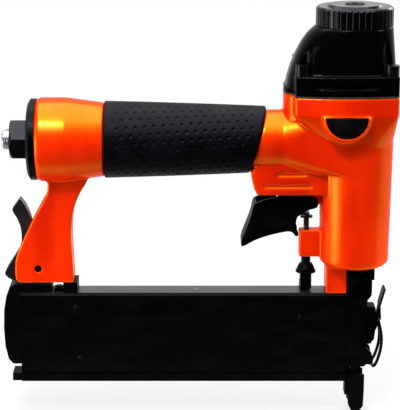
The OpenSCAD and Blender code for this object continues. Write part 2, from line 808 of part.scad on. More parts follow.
module grip_sleeve() {
    color(rubber_black) intersection() {
        turned([
            [core_rear_r + pin_gap, grip_rear_x], [grip_rear_r - grip_edge, grip_rear_x],
            [grip_rear_r, grip_rear_x + grip_edge], [grip_front_r, grip_front_x - grip_edge],
            [grip_front_r - grip_edge, grip_front_x], [core_front_r + pin_gap, grip_front_x]
        ]);
        grip_space(0);
    }
}
module rear_cap() {
    outer_x = rear_x - rear_cap_t;
    color(satin_black) turned([
        [bushing_shank_r + pin_gap, outer_x], [handle_rear_r - 2 * rear_cap_edge, outer_x],
        [handle_rear_r - rear_cap_edge / 2, outer_x + rear_cap_edge],
        [handle_rear_r - rear_cap_edge / 2, rear_x],
        [spigot_r, rear_x], [spigot_r, rear_x + rear_cap_spigot],
        [bushing_shank_r + pin_gap, rear_x + rear_cap_spigot]
    ]);
}
module inlet_bushing() {
    inner_x = rear_x - rear_cap_t;
    corner_r = bushing_af / 2 / cos(30);
    color(dark_steel) difference() {
        union() {
            intersection() {
                translate([bushing_end_x, 0, handle_z]) rotate([0, 90, 0]) rotate(bushing_turn)
                    cylinder(h = bushing_len, r = corner_r, $fn = 6);
                turned([
                    [0, bushing_end_x], [corner_r - bushing_chamfer, bushing_end_x],
                    [corner_r + over, bushing_end_x + bushing_chamfer + over], [corner_r + over, inner_x],
                    [0, inner_x]
                ]);
            }
            turned([
                [0, inner_x - over], [bushing_shank_r, inner_x - over],
                [bushing_shank_r, rear_x + rear_cap_spigot], [0, rear_x + rear_cap_spigot]
            ]);
        }
        turned([
            [0, bushing_end_x - over], [plug_shank_r + pin_gap, bushing_end_x - over],
            [plug_shank_r + pin_gap, bushing_end_x + plug_shank_len],
            [plug_bore_r, bushing_end_x + plug_shank_len],
            [plug_bore_r, rear_x + rear_cap_spigot + over], [0, rear_x + rear_cap_spigot + over]
        ]);
    }
}
module air_plug() {
    color(steel) turned([
        [plug_bore_r, bushing_end_x - plug_len], [plug_r, bushing_end_x - plug_len],
        [plug_r, bushing_end_x],
        [plug_shank_r, bushing_end_x], [plug_shank_r, bushing_end_x + plug_shank_len],
        [plug_bore_r, bushing_end_x + plug_shank_len]
    ]);
}

// Point of a dome ring: share of its height, share of its overhang, angle
function dome_point(height_share, over_share, angle) = let (
    rear = deflector_r - deflector_x + (dome_rear - deflector_r + deflector_x) * over_share,
    front = dome_front + (deflector_r + deflector_x - dome_front) * height_share,
    side = dome_side + (deflector_r - dome_side) * height_share,
    power = 2 / (dome_square_low + (dome_square_top - dome_square_low) * height_share),
    c = cos(angle),
    s = sin(angle)
) [
    (front - rear) / 2 + (front + rear) / 2 * sign(c) * pow(abs(c), power),
    side * sign(s) * pow(abs(s), power),
    dome_low_z + (dome_top_z - dome_low_z) * height_share
];
module dome() {
    polyhedron(
        [for (s = dome_shares, k = [0:dome_sides - 1]) dome_point(s[0], s[1], -360 * k / dome_sides)],
        tube_faces(len(dome_shares), dome_sides)
    );
}
module cylinder_cap() {
    color(cap_black) difference() {
        union() {
            dome();
            translate([0, 0, seam_z]) linear_extrude(lip_t) head_plan();
            translate([0, 0, seam_z]) linear_extrude(cap_flange_t) flange_plan();
        }
        at_head_screws() {
            upright(0, 0, seam_z - over, dome_top_z, screw_r + pin_gap);
            upright(0, 0, cap_flange_z, dome_top_z, screw_pocket_r);
        }
        for (side = [-1, 1])
            translate([0, side * half_flange, seam_z + (cap_flange_t - flange_groove_h) / 2])
                block(
                    [-flange_rear * flange_groove_rear_share, -flange_groove_depth, 0],
                    [flange_front * flange_groove_front_share, flange_groove_depth, flange_groove_h]
                );
        upright(0, 0, seam_z - over, seam_z + valve_chamber_h, chamber_r);
        upright(deflector_x, 0, dome_top_z - deflector_screw_depth, dome_top_z + over,
            deflector_screw_r + pin_gap);
        for (k = [0:exhaust_hole_n - 1])
            translate([deflector_x, 0, 0]) rotate(360 * k / exhaust_hole_n)
                upright(exhaust_hole_ring_r, 0, seam_z, dome_top_z + over, exhaust_hole_r);
    }
}
module cap_gasket() {
    color(paper) translate([0, 0, body_top_z]) linear_extrude(gasket_t) difference() {
        head_plan();
        circle(chamber_r);
        at_head_screws() circle(screw_r + pin_gap);
    }
}
module cap_screws() {
    color(steel) at_head_screws() difference() {
        union() {
            upright(0, 0, body_top_z - screw_depth + over, cap_flange_z, screw_r);
            upright(0, 0, cap_flange_z, cap_flange_z + screw_head_h, screw_head_r);
        }
        translate([0, 0, cap_flange_z + screw_head_h - screw_socket_h])
            cylinder(h = screw_socket_h + over, r = screw_socket_r, $fn = 6);
    }
}
module deflector() {
    roof_z = deflector_top_z - deflector_roof;
    disc_z = deflector_top_z + deflector_disc_h;
    color(cap_black) difference() {
        translate([deflector_x, 0, 0]) rotate_extrude() polygon([
            [deflector_screw_r + pin_gap, deflector_z], [deflector_hub_r, deflector_z],
            [deflector_hub_r, roof_z],
            [deflector_r - deflector_wall, roof_z], [deflector_r - deflector_wall, deflector_z],
            [deflector_r, deflector_z], [deflector_r, deflector_top_z - deflector_edge],
            [deflector_r - deflector_edge, deflector_top_z], [deflector_disc_r, deflector_top_z],
            [deflector_disc_r - deflector_disc_h, disc_z], [deflector_screw_head_r + run_gap, disc_z],
            [deflector_screw_head_r + run_gap, disc_z - deflector_screw_head_h],
            [deflector_screw_r + pin_gap, disc_z - deflector_screw_head_h]
        ]);
        for (k = [0:flute_n - 1])
            translate([deflector_x, 0, 0]) rotate(360 * k / flute_n)
                upright(deflector_r + flute_r - flute_depth, 0, deflector_z - over,
                    deflector_top_z + over, flute_r);
        block(
            [deflector_x - exhaust_slot_w / 2, deflector_r / 2, deflector_z + exhaust_slot_lift],
            [deflector_x + exhaust_slot_w / 2, deflector_r + over,
            deflector_z + exhaust_slot_lift + exhaust_slot_h]
        );
    }
}
module deflector_screw() {
    disc_z = deflector_top_z + deflector_disc_h;
    color(dark_steel) difference() {
        union() {
            upright(deflector_x, 0, dome_top_z - deflector_screw_depth + over, disc_z, deflector_screw_r);
            upright(
                deflector_x, 0, disc_z - deflector_screw_head_h + run_gap, disc_z + run_gap,
                    deflector_screw_head_r
            );
        }
        translate([deflector_x, 0, disc_z - deflector_screw_head_h / 2])
            cylinder(h = deflector_screw_head_h + over, r = screw_socket_r, $fn = 6);
    }
}

module cylinder_sleeve() {
    color(steel) difference() {
        upright(0, 0, barrel_floor_z, sleeve_top_z, sleeve_r);
        upright(0, 0, barrel_floor_z - over, sleeve_top_z + over, cylinder_r);
    }
}
module bumper() {
    color(rubber_black) difference() {
        upright(0, 0, barrel_floor_z, bumper_top_z, cylinder_r - pin_gap);
        block(
            [-blade_slot_t, -blade_slot_w / 2, barrel_floor_z - over],
            [blade_slot_t, blade_slot_w / 2, bumper_top_z + over]
        );
    }
}
module piston() {
    groove = piston_t / 4;
    color(steel) difference() {
        upright(0, 0, piston_rest_z, piston_rest_z + piston_t, cylinder_r - pin_gap);
        translate([0, 0, piston_rest_z + piston_t / 2]) difference() {
            cylinder(h = groove, r = cylinder_r + over);
            translate([0, 0, -over]) cylinder(h = groove + 2 * over, r = cylinder_r - groove / 2);
        }
        upright(0, 0, piston_rest_z + piston_t - groove, piston_rest_z + piston_t + over, cylinder_r / 2);
    }
}
module driver_blade() {
    color(steel) block([-blade_t / 2, -blade_w / 2, blade_rest_z],
        [blade_t / 2, blade_w / 2, piston_rest_z]);
}
module head_valve() {
    color(satin_black) difference() {
        upright(0, 0, valve_rest_z, valve_top_z, head_valve_r);
        upright(0, 0, valve_rest_z - over, valve_top_z + over, head_valve_r / 2);
    }
}
// Closed spring above the head valve, out of sight in its chamber
module head_valve_spring() {
    color(steel) difference() {
        upright(0, 0, valve_top_z, seam_z + valve_chamber_h, head_spring_r);
        upright(0, 0, valve_top_z - over, seam_z + valve_chamber_h + over,
            head_spring_r - head_spring_wall);
    }
}

module valve_body() {
    color(dark_steel) difference() {
        upright(valve_x, 0, block_z, block_z + valve_depth, valve_r);
        upright(valve_x, 0, block_z - over, block_z + valve_pocket_high, stem_r + pin_gap);
        upright(valve_x, 0, block_z + valve_pocket_low, block_z + valve_pocket_high, valve_pocket_r);
    }
}
module valve_stem() {
    color(steel) {
        upright(valve_x, 0, block_z - stem_drop, block_z + stem_top, stem_r);
        upright(
            valve_x, 0, block_z + stem_collar_low, block_z + stem_collar_low + stem_collar_h, stem_collar_r
        );
    }
}
module trigger() {
    color(satin_black) difference() {
        across(soften(in_box(trigger_shares, trigger_tip_x, trigger_low_z, trigger_len, trigger_h),
            2), trigger_w / 2);
        across(in_box(trough_shares, trigger_tip_x, trigger_low_z, trigger_len, trigger_h), trough_half);
        cross_pin(trigger_pin_x, trigger_pin_z, trigger_pin_r + pin_gap, trigger_w);
        cross_pin(trip_pin_x, trip_pin_z, trip_pin_r + pin_gap, trigger_w);
    }
}
module trigger_pin() {
    color(steel) cross_pin(trigger_pin_x, trigger_pin_z, trigger_pin_r, trigger_w / 2);
}
// Lever in the trigger that the contact rod lifts to reach the valve stem
module trip_lever() {
    front_z = rod_top_z + run_gap;
    color(steel) difference() {
        union() {
            across([
                [trip_pin_x, trip_pin_z - trip_t / 2], [trip_front_x, front_z],
                [trip_front_x, front_z + trip_t], [trip_pin_x, trip_pin_z + trip_t / 2]
            ], trip_half);
            cross_pin(trip_pin_x, trip_pin_z, trip_boss_r, trip_half);
        }
        cross_pin(trip_pin_x, trip_pin_z, trip_pin_r + pin_gap, trigger_w);
    }
}
module trip_lever_pin() {
    color(steel) cross_pin(trip_pin_x, trip_pin_z, trip_pin_r, trigger_w / 2);
}

module contact_rod() {
    color(steel) {
        upright(-rod_x, 0, post_top_z, rod_top_z, rod_r);
        block(
            [-rod_x - rod_head_reach, -rod_head_half, rod_top_z - rod_head_t],
            [-rod_x + rod_head_reach, rod_head_half, rod_top_z]
        );
    }
}
// Closed spring round the rod, out of sight in the lug
module contact_spring() {
    color(steel) difference() {
        upright(-rod_x, 0, spring_low_z, spring_top_z, rod_r + spring_wall + run_gap);
        upright(-rod_x, 0, spring_low_z - over, spring_top_z + over, rod_r + run_gap);
    }
}
module depth_wheel() {
    bell_r = wheel_r * wheel_bell_share;
    color(satin_black) difference() {
        translate([-rod_x, 0, 0]) rotate_extrude() polygon([
            [lug_bore_r, wheel_low_z], [wheel_r, wheel_low_z], [wheel_r, wheel_low_z + wheel_rim_h],
            [bell_r, wheel_low_z + wheel_rim_h], [bell_r, wheel_low_z + wheel_h / 2],
            [wheel_neck_r + spring_wall, wheel_low_z + wheel_h], [wheel_neck_r, wheel_low_z + wheel_h],
            [wheel_neck_r, lug_low_z + wheel_neck_in], [lug_bore_r, lug_low_z + wheel_neck_in]
        ]);
        for (k = [0:wheel_flute_n - 1])
            translate([-rod_x, 0, 0]) rotate(360 * k / wheel_flute_n)
                upright(wheel_r + wheel_flute_r / 2, 0, wheel_low_z - over,
                    wheel_low_z + 2 * wheel_rim_h, wheel_flute_r);
    }
}
// Sheet steel arm on the far side, from the foot up to the post under the depth wheel
module contact_arm() {
    arm_top_z = bridge_low_z + bridge_t;
    color(satin_black) {
        plate(
            in_box(arm_shares, arm_rear_x, arm_low_z, arm_front - arm_rear_x, arm_top_z - arm_low_z),
            arm_y, arm_out_y
        );
        block([arm_rear_x, -post_half, bridge_low_z], [post_front - rod_x, arm_out_y, arm_top_z]);
        block([arm_rear_x, -post_half, bridge_low_z], [post_front - rod_x, post_half, post_top_z]);
        block([arm_front - arm_jog_back, foot_outer, arm_low_z],
            [arm_front, arm_out_y, arm_low_z + arm_jog_h]);
    }
}
module contact_foot() {
    color(dark_steel) {
        for (side = [-1, 1])
            translate([0, side * (foot_inner + foot_outer) / 2, 0])
                across(in_box(foot_shares, foot_x, 0, foot_len, foot_h), contact_t / 2);
        across(in_box(foot_bar_shares, foot_x, 0, foot_len, foot_h), foot_inner + contact_t / 2);
    }
}

module at_nose_screws() {
    for (x = [nose_screw_inset - nose_rear, nose_front - nose_screw_inset], side = [0, 180])
        translate([x, 0, mag_top_z + nose_screw_lift]) rotate(side) children();
}
module nose_body() {
    color(satin_black) difference() {
        union() {
            block([-nose_rear, -nose_half, mag_top_z], [nose_front, nose_half, barrel_base_z]);
            block([0, -nose_half, barrel_base_z - nose_lip_h],
                [nose_front + nose_lip, nose_half, barrel_base_z]);
            for (side = [-1, 1])
                translate([0, side * (cheek_inner + cheek_outer) / 2, 0])
                    across(in_box(cheek_shares, guide_rear_x, narrow_z, cheek_front, cheek_h), cheek_t / 2);
            block([guide_rear_x, -cheek_outer, narrow_z], [-channel_half, cheek_outer, mag_top_z]);
            block([guide_rear_x, -door_narrow_half, guide_low_z],
                [-channel_half, door_narrow_half, narrow_z]);
        }
        block(
            [-channel_half, -blade_slot_w / 2, mag_top_z - over],
            [channel_half, blade_slot_w / 2, barrel_base_z + over]
        );
        cross_pin(door_pin_x, door_pin_z, door_pin_r + pin_gap, nose_half);
        at_nose_screws() translate([0, -nose_half - over, 0]) rotate([-90, 0, 0])
            cylinder(h = nose_screw_depth + over, r = nose_screw_r + pin_gap);
    }
}
module nose_screws() {
    color(steel) at_nose_screws() translate([0, -nose_half, 0]) rotate([-90, 0, 0]) {
        cylinder(h = nose_screw_depth - over, r = nose_screw_r);
        translate([0, 0, -nose_screw_head_h]) cylinder(h = nose_screw_head_h, r = nose_screw_head_r);
    }
}
// Front plate of the nose, which swings out to clear a jam
module nose_door() {
    color(satin_black) difference() {
        union() {
            block([door_x, -door_half, narrow_z + run_gap], [door_front_x, door_half, door_pin_z]);
            block([door_x, -door_narrow_half, door_low_z],
                [door_front_x, door_narrow_half, narrow_z + over]);
            cross_pin(door_pin_x, door_pin_z, knuckle_r, door_half);
            across(
                in_box(latch_ear_shares, door_front_x, latch_ear_low_z, latch_ear_len,
                    latch_ear_h), latch_ear_half
            );
        }
        block(
            [latch_base_front - run_gap, -lever_half - run_gap, latch_ear_low_z - over],
            [lever_tip_x, lever_half + run_gap, latch_ear_low_z + latch_ear_h]
        );
        cross_pin(lever_pin_x, lever_pin_z, lever_boss_r + run_gap, lever_half + run_gap);
        cross_pin(door_pin_x, door_pin_z, door_pin_r + pin_gap, nose_half);
        cross_pin(lever_pin_x, lever_pin_z, lever_pin_r + pin_gap, nose_half);
    }
}
module door_pin() {
    color(steel) cross_pin(door_pin_x, door_pin_z, door_pin_r, cheek_outer);
}
module latch_lever() {
    color(dark_steel) difference() {
        union() {
            cross_pin(lever_pin_x, lever_pin_z, lever_boss_r, lever_half);
            cross_pin(bail_pin_x, bail_pin_z, bail_wire_r + lever_t, lever_half);
            across([
                [lever_pin_x, lever_pin_z + lever_boss_r], [lever_pin_x + lever_boss_r, lever_pin_z],
                [bail_pin_x + bail_wire_r + lever_t, bail_pin_z], [lever_waist_x + lever_t, lever_waist_z],
                [lever_waist_x, lever_waist_z], [bail_pin_x - bail_wire_r, bail_pin_z]
            ], lever_half);
            across([
                [lever_waist_x, lever_tab_z], [lever_waist_x + lever_t, lever_tab_z],
                [lever_waist_x + lever_t, lever_waist_z], [lever_tip_x + lever_t / 2, lever_tip_z],
                [lever_tip_x - lever_t / 2, lever_tip_z], [lever_waist_x, lever_waist_z]
            ], lever_tab_half);
        }
        cross_pin(lever_pin_x, lever_pin_z, lever_pin_r + pin_gap, nose_half);
        cross_pin(bail_pin_x, bail_pin_z, bail_wire_r + pin_gap, nose_half);
    }
}
module lever_pin() {
    color(steel) cross_pin(lever_pin_x, lever_pin_z, lever_pin_r, latch_ear_half);
}
// Points of one side wire of the bail, from the lever down to the cross bar
function bail_wire(y) = [
    for (s = bail_shares) [
        bail_pin_x + (bail_bar_x - bail_pin_x) * s[0] + bail_belly * s[1],
        y,
        bail_pin_z + (bail_bar_z - bail_pin_z) * s[0]
    ]
];
module latch_bail() {
    near = bail_wire(-bail_half);
    far = bail_wire(bail_half);
    path = soften_path([
        [bail_pin_x, -bail_end, bail_pin_z],
        each near,
        for (i = [len(far) - 1:-1:0]) far[i],
        [bail_pin_x, bail_end, bail_pin_z]
    ], 2);
    last = len(path) - 1;
    points = [
        for (i = [0:last])
            each ring(path[i], unit(path[min(i + 1, last)] - path[max(i - 1, 0)]), bail_wire_r, bail_sides)
    ];
    color(steel) polyhedron(points, tube_faces(last + 1, bail_sides));
}

module magazine_rail() {
    color(satin_black) difference() {
        union() {
            block([rail_rear_x, -half_mag, rail_low_z], [rail_front_x, half_mag, mag_top_z]);
            block([rail_rear_x, -core_w / 2, core_low_z], [rail_front_x, core_w / 2, mag_top_z]);
        }
        toe_screw_hole();
    }
}
// Channel that slides back under the rail, with a tail at its rear end
module magazine_slide() {
    color(satin_black) {
        difference() {
            block([slide_rear_x, -half_mag, mag_rise], [slide_front_x, half_mag, slide_top_z]);
            block(
                [slide_rear_x - over, mag_wall - half_mag, mag_rise + mag_wall],
                [slide_front_x + over, half_mag - mag_wall, slide_top_z + over]
            );
            for (side = [-1, 1])
                translate([0, side * half_mag, mag_rise + slide_bead_z])
                    block(
                        [slide_rear_x - over, -slide_bead_depth, 0],
                        [slide_front_x + over, slide_bead_depth, slide_bead_h]
                    );
        }
        block(
            [slide_rear_x - tail_len, mag_wall / 2 - half_mag, mag_rise + tail_lift],
            [slide_rear_x + run_gap / 2, half_mag - mag_wall / 2, mag_rise + tail_lift + tail_h]
        );
    }
}
// End cap with a catch plate that reaches under the leg
module end_cap() {
    color(satin_black) {
        across(in_box(end_cap_shares, slide_rear_x, end_cap_low_z, -end_cap_t, end_cap_h), half_mag);
        block([slide_rear_x - over, -half_mag, mag_top_z + run_gap],
            [catch_front_x, half_mag, end_cap_top_z]);
    }
}
module pusher() {
    half = half_mag - mag_wall - run_gap;
    floor_z = mag_rise + mag_wall + run_gap;
    color(steel) difference() {
        block([pusher_x - pusher_len / 2, -half, floor_z],
            [pusher_x + pusher_len / 2, half, rail_low_z - run_gap]);
        block(
            [pusher_x - pusher_len, -core_w / 2 - run_gap, floor_z + pusher_floor],
            [pusher_x + pusher_len, core_w / 2 + run_gap, mag_top_z]
        );
    }
}
module magazine_latch() {
    color(satin_black) difference() {
        union() {
            across(
                soften(in_box(latch_shares, latch_pin_x - latch_back, latch_pin_z - latch_low,
                    latch_len, latch_h), 1),
                latch_w / 2
            );
            cross_pin(latch_pin_x, latch_pin_z, latch_boss_r, latch_w / 2);
        }
        cross_pin(latch_pin_x, latch_pin_z, latch_pin_r + pin_gap, leg_w);
    }
}
module latch_pin() {
    color(steel) cross_pin(latch_pin_x, latch_pin_z, latch_pin_r, leg_w / 2);
}
// Place of the screw that goes up through the bracket into the leg
module at_leg_screw() {
    translate([bracket_x - bracket_back / 2, 0, mag_top_z + bracket_screw_head_h + pin_gap]) children();
}
// Place of the screw through the bracket's toe into the rail
module at_toe_screw() {
    translate([bracket_x - bracket_back - toe_len / 2, 0, mag_top_z + toe_t]) rotate([180, 0, 0]) children();
}
module leg_screw_hole() {
    at_leg_screw() translate([0, 0, -over])
        cylinder(h = leg_gap + bracket_screw_in + over, r = bracket_screw_r + pin_gap);
}
module toe_screw_hole() {
    at_toe_screw() translate([0, 0, -over])
        cylinder(h = toe_t + bracket_screw_in + 2 * over, r = bracket_screw_r + pin_gap);
}
// Saddle that holds the rail under the leg
module rail_bracket() {
    color(satin_black) difference() {
        union() {
            block([bracket_x - bracket_back, -bracket_half, mag_top_z],
                [bracket_x + bracket_lip, bracket_half, leg_low_z]);
            block([bracket_x - bracket_back - toe_len, -toe_half, mag_top_z],
                [bracket_x, toe_half, mag_top_z + toe_t]);
        }
        leg_screw_hole();
        at_leg_screw() translate([0, 0, -bracket_screw_head_h - pin_gap - over])
            cylinder(h = bracket_screw_head_h + pin_gap + over, r = bracket_screw_head_r + pin_gap);
        toe_screw_hole();
    }
}
module bracket_screw(length) {
    cylinder(h = length, r = bracket_screw_r);
    translate([0, 0, -bracket_screw_head_h]) cylinder(h = bracket_screw_head_h, r = bracket_screw_head_r);
}
module bracket_screws() {
    color(steel) {
        at_leg_screw() bracket_screw(leg_gap - bracket_screw_head_h + bracket_screw_in);
        at_toe_screw() bracket_screw(toe_t + bracket_screw_in);
    }
}

main_body();
grip_sleeve();
rear_cap();
inlet_bushing();
air_plug();
cylinder_cap();
cap_gasket();
cap_screws();
deflector();
deflector_screw();
cylinder_sleeve();
bumper();
piston();
driver_blade();
head_valve();
head_valve_spring();
valve_body();
valve_stem();
trigger();
trigger_pin();
trip_lever();
trip_lever_pin();
contact_rod();
contact_spring();
depth_wheel();
contact_arm();
contact_foot();
nose_body();
nose_screws();
nose_door();
door_pin();
latch_lever();
lever_pin();
latch_bail();
magazine_rail();
magazine_slide();
end_cap();
pusher();
magazine_latch();
latch_pin();
rail_bracket();
bracket_screws();
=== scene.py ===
"""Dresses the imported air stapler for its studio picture.

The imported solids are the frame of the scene. The castings get their fillets, the grip its
dimples, the air plug its thread, and every piece a paint, rubber, plastic or steel finish.
All lengths are in metres, in the frame of the solids: X towards the nose, Y across, Z up.
"""
from __future__ import annotations

import logging
import math
from dataclasses import dataclass
from enum import Enum
from typing import Any, Iterable, Mapping, Sequence

import bmesh
import bpy
from mathutils import Matrix, Vector


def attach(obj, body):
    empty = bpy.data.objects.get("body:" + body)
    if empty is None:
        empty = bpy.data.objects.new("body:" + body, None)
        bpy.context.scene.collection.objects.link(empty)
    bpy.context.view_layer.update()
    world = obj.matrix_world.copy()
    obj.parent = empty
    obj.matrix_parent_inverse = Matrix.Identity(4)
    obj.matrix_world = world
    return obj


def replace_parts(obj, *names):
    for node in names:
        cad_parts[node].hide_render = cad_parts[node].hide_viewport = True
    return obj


LOG = logging.getLogger("air_stapler")
Point = tuple[float, float, float]
Colour = tuple[float, float, float]
Pairs = tuple[tuple[float, float], ...]
FULL_TURN = 2.0 * math.pi
UP: Point = (0.0, 0.0, 1.0)
UNIT: Point = (1.0, 1.0, 1.0)
WHITE: Colour = (1.0, 1.0, 1.0)
SHEEN: Colour = (0.95, 0.88, 1.0)
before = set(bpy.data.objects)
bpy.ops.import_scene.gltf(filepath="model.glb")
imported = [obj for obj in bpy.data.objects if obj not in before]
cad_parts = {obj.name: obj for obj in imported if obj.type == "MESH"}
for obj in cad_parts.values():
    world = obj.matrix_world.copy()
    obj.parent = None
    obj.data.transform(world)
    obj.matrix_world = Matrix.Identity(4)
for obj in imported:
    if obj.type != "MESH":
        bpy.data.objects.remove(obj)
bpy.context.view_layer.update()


class Side(Enum):
    """The two sides of the tool across its width."""

    NEAR = -1
    FAR = 1


class Grain(Enum):
    """The way in which tool marks run on bare metal, as stretches of the noise along X, Y and Z."""

    ALONG_Z = (12.0, 12.0, 1.0)
    EVEN = (1.0, 1.0, 1.0)


class Wire:
    """One value of a shader, on which plain maths adds Math nodes."""

    def __init__(self, graph: "Graph", socket: bpy.types.NodeSocket) -> None:
        """Keeps the socket and the graph that it belongs to."""
        self.graph = graph
        self.socket = socket

    def _maths(self, operation: str, first: Any, second: Any) -> "Wire":
        """Adds one Math node.

        Args:
            operation: The node's operation.
            first: A number or a wire.
            second: A number or a wire.

        Returns:
            The wire of its result.
        """
        node = self.graph.node("ShaderNodeMath", {"operation": operation}, {0: first, 1: second})
        return Wire(self.graph, node.outputs[0])

    def __add__(self, other: Any) -> "Wire":
        """Sum of this value and another."""
        return self._maths("ADD", self, other)

    def __radd__(self, other: Any) -> "Wire":
        """Sum with a plain number on the left."""
        return self._maths("ADD", other, self)

    def __sub__(self, other: Any) -> "Wire":
        """Difference of this value and another."""
        return self._maths("SUBTRACT", self, other)

    def __rsub__(self, other: Any) -> "Wire":
        """Difference with a plain number on the left."""
        return self._maths("SUBTRACT", other, self)

    def __mul__(self, other: Any) -> "Wire":
        """Product of this value and another."""
        return self._maths("MULTIPLY", self, other)

    def __rmul__(self, other: Any) -> "Wire":
        """Product with a plain number on the left."""
        return self._maths("MULTIPLY", other, self)

    def larger(self, other: Any) -> "Wire":
        """The larger of this value and another."""
        return self._maths("MAXIMUM", self, other)

    def between(self, low: float, high: float) -> "Wire":
        """Smooth mask that is 0 below low and 1 above high.

        Args:
            low: Value at which the mask leaves 0.
            high: Value at which it reaches 1.

        Returns:
            The mask.
        """
        node = self.graph.node(
            "ShaderNodeMapRange",
            {"interpolation_type": "SMOOTHSTEP"},
            {"Value": self, "From Min": low, "From Max": high},
        )
        return Wire(self.graph, node.outputs["Result"])


class Graph:
    """The nodes of one material or world, and the one way in which they are made."""

    def __init__(self, tree: bpy.types.NodeTree) -> None:
        """Starts with an empty tree."""
        self.tree = tree
        tree.nodes.clear()

    def node(
        self,
        kind: str,
        settings: Mapping[str, Any] | None = None,
        inputs: Mapping[Any, Any] | None = None,
    ) -> bpy.types.Node:
        """Makes any node.

        Args:
            kind: Blender's name of the node type.
            settings: Attributes, such as a Math node's operation, which are set first.
            inputs: Numbers, tuples, wires or sockets by socket name or number.

        Returns:
            The node.
        """
        node = self.tree.nodes.new(kind)
        for name, value in (settings or {}).items():
            setattr(node, name, value)
        for name, value in (inputs or {}).items():
            socket = node.inputs[name]
            if isinstance(value, Wire):
                self.tree.links.new(value.socket, socket)
            elif isinstance(value, bpy.types.NodeSocket):
                self.tree.links.new(value, socket)
            elif socket.type == "RGBA":
                socket.default_value = (*value, 1.0)
            else:
                socket.default_value = value
        return node

    def place(self, stretch: Point = UNIT) -> bpy.types.NodeSocket:
        """Position on the object, in metres.

        Args:
            stretch: Stretch along X, Y and Z, for noise that runs one way.

        Returns:
            The socket of the stretched position.
        """
        here = self.node("ShaderNodeTexCoord").outputs["Object"]
        inputs = {"Vector": here, "Scale": stretch}
        return self.node("ShaderNodeMapping", {"vector_type": "POINT"}, inputs).outputs[0]

    def noise(self, scale: float, detail: float = 2.0, stretch: Point = UNIT) -> Wire:
        """Noise from 0 to 1.

        Args:
            scale: Bumps per metre.
            detail: Number of finer layers.
            stretch: Stretch of the place along X, Y and Z.

        Returns:
            The noise value.
        """
        node = self.node(
            "ShaderNodeTexNoise",
            {"noise_dimensions": "3D"},
            {"Vector": self.place(stretch), "Scale": scale, "Detail": detail},
        )
        return Wire(self, node.outputs["Fac"])

    def cells(self, scale: float) -> Wire:
        """Distance to the nearest cell middle of a Voronoi texture, in cells.

        Args:
            scale: Cells per metre.

        Returns:
            The distance.
        """
        inputs = {"Vector": self.place(), "Scale": scale}
        node = self.node("ShaderNodeTexVoronoi", {"feature": "F1"}, inputs)
        return Wire(self, node.outputs["Distance"])

    def corners(self) -> Wire:
        """How sharply the surface stands out, from about 0.45 in hollows to 0.6 on edges."""
        return Wire(self, self.node("ShaderNodeNewGeometry").outputs["Pointiness"])

    def blend(self, factor: Any, first: Any, second: Any) -> bpy.types.NodeSocket:
        """Colour between two colours.

        Args:
            factor: Share of the second colour.
            first: Colour or socket.
            second: Colour or socket.

        Returns:
            The colour socket.
        """
        inputs = {"Factor": factor, 6: first, 7: second}
        return self.node("ShaderNodeMix", {"data_type": "RGBA"}, inputs).outputs[2]

    def bump(self, height: Wire, depth: float) -> bpy.types.NodeSocket:
        """Normal of a surface with that relief, whose full height is depth metres."""
        node = self.node("ShaderNodeBump", None, {"Height": height, "Distance": depth})
        return node.outputs["Normal"]

    def mixed(self, share: Wire, first: bpy.types.Node, second: bpy.types.Node) -> bpy.types.Node:
        """Mix of the first outputs of two shaders, with that share of the second."""
        inputs = {0: share, 1: first.outputs[0], 2: second.outputs[0]}
        return self.node("ShaderNodeMixShader", None, inputs)

    def surface(
        self,
        inputs: Mapping[str, Any],
        flakes: Mapping[str, Any] | None = None,
        share: Wire | None = None,
    ) -> None:
        """Puts a Principled shader with those inputs on the output.

        Args:
            inputs: Inputs of the shader.
            flakes: Inputs of a second shader that is mixed in, if any.
            share: Share of the second shader.
        """
        shader = self.node("ShaderNodeBsdfPrincipled", None, inputs)
        if flakes is not None:
            shader = self.mixed(share, shader, self.node("ShaderNodeBsdfPrincipled", None, flakes))
        self.node("ShaderNodeOutputMaterial", None, {"Surface": shader.outputs[0]})


@dataclass(frozen=True)
class Finish:
    """A named finish that dresses pieces.

    Attributes:
        name: Name of the material.
        slot: Material slot of the record; not used.
        colour: Main colour, linear.
    """

    name: str
    slot: str
    colour: Colour

    def nodes(self, graph: Graph) -> None:
        """Draws the finish; each kind of finish has its own."""
        raise NotImplementedError

    def toned(self, gain: float, lift: float = 0.0) -> Colour:
        """The main colour times a gain, lifted by a constant."""
        return tuple(value * gain + lift for value in self.colour)

    def material(self) -> bpy.types.Material:
        """The finish as a material, made once.

        Returns:
            The material.
        """
        found = bpy.data.materials.get(self.name)
        if found is None:
            found = bpy.data.materials.new(self.name)
            found.use_nodes = True
            self.nodes(Graph(found.node_tree))
            found.diffuse_color = (*self.colour, 1.0)
        return found

    def fill(self, piece: bpy.types.Object) -> None:
        """Puts the finish in every material slot of a piece.

        Args:
            piece: The piece, whose mesh stays as it is.
        """
        for slot in piece.material_slots:
            slot.link = "OBJECT"
            slot.material = self.material()


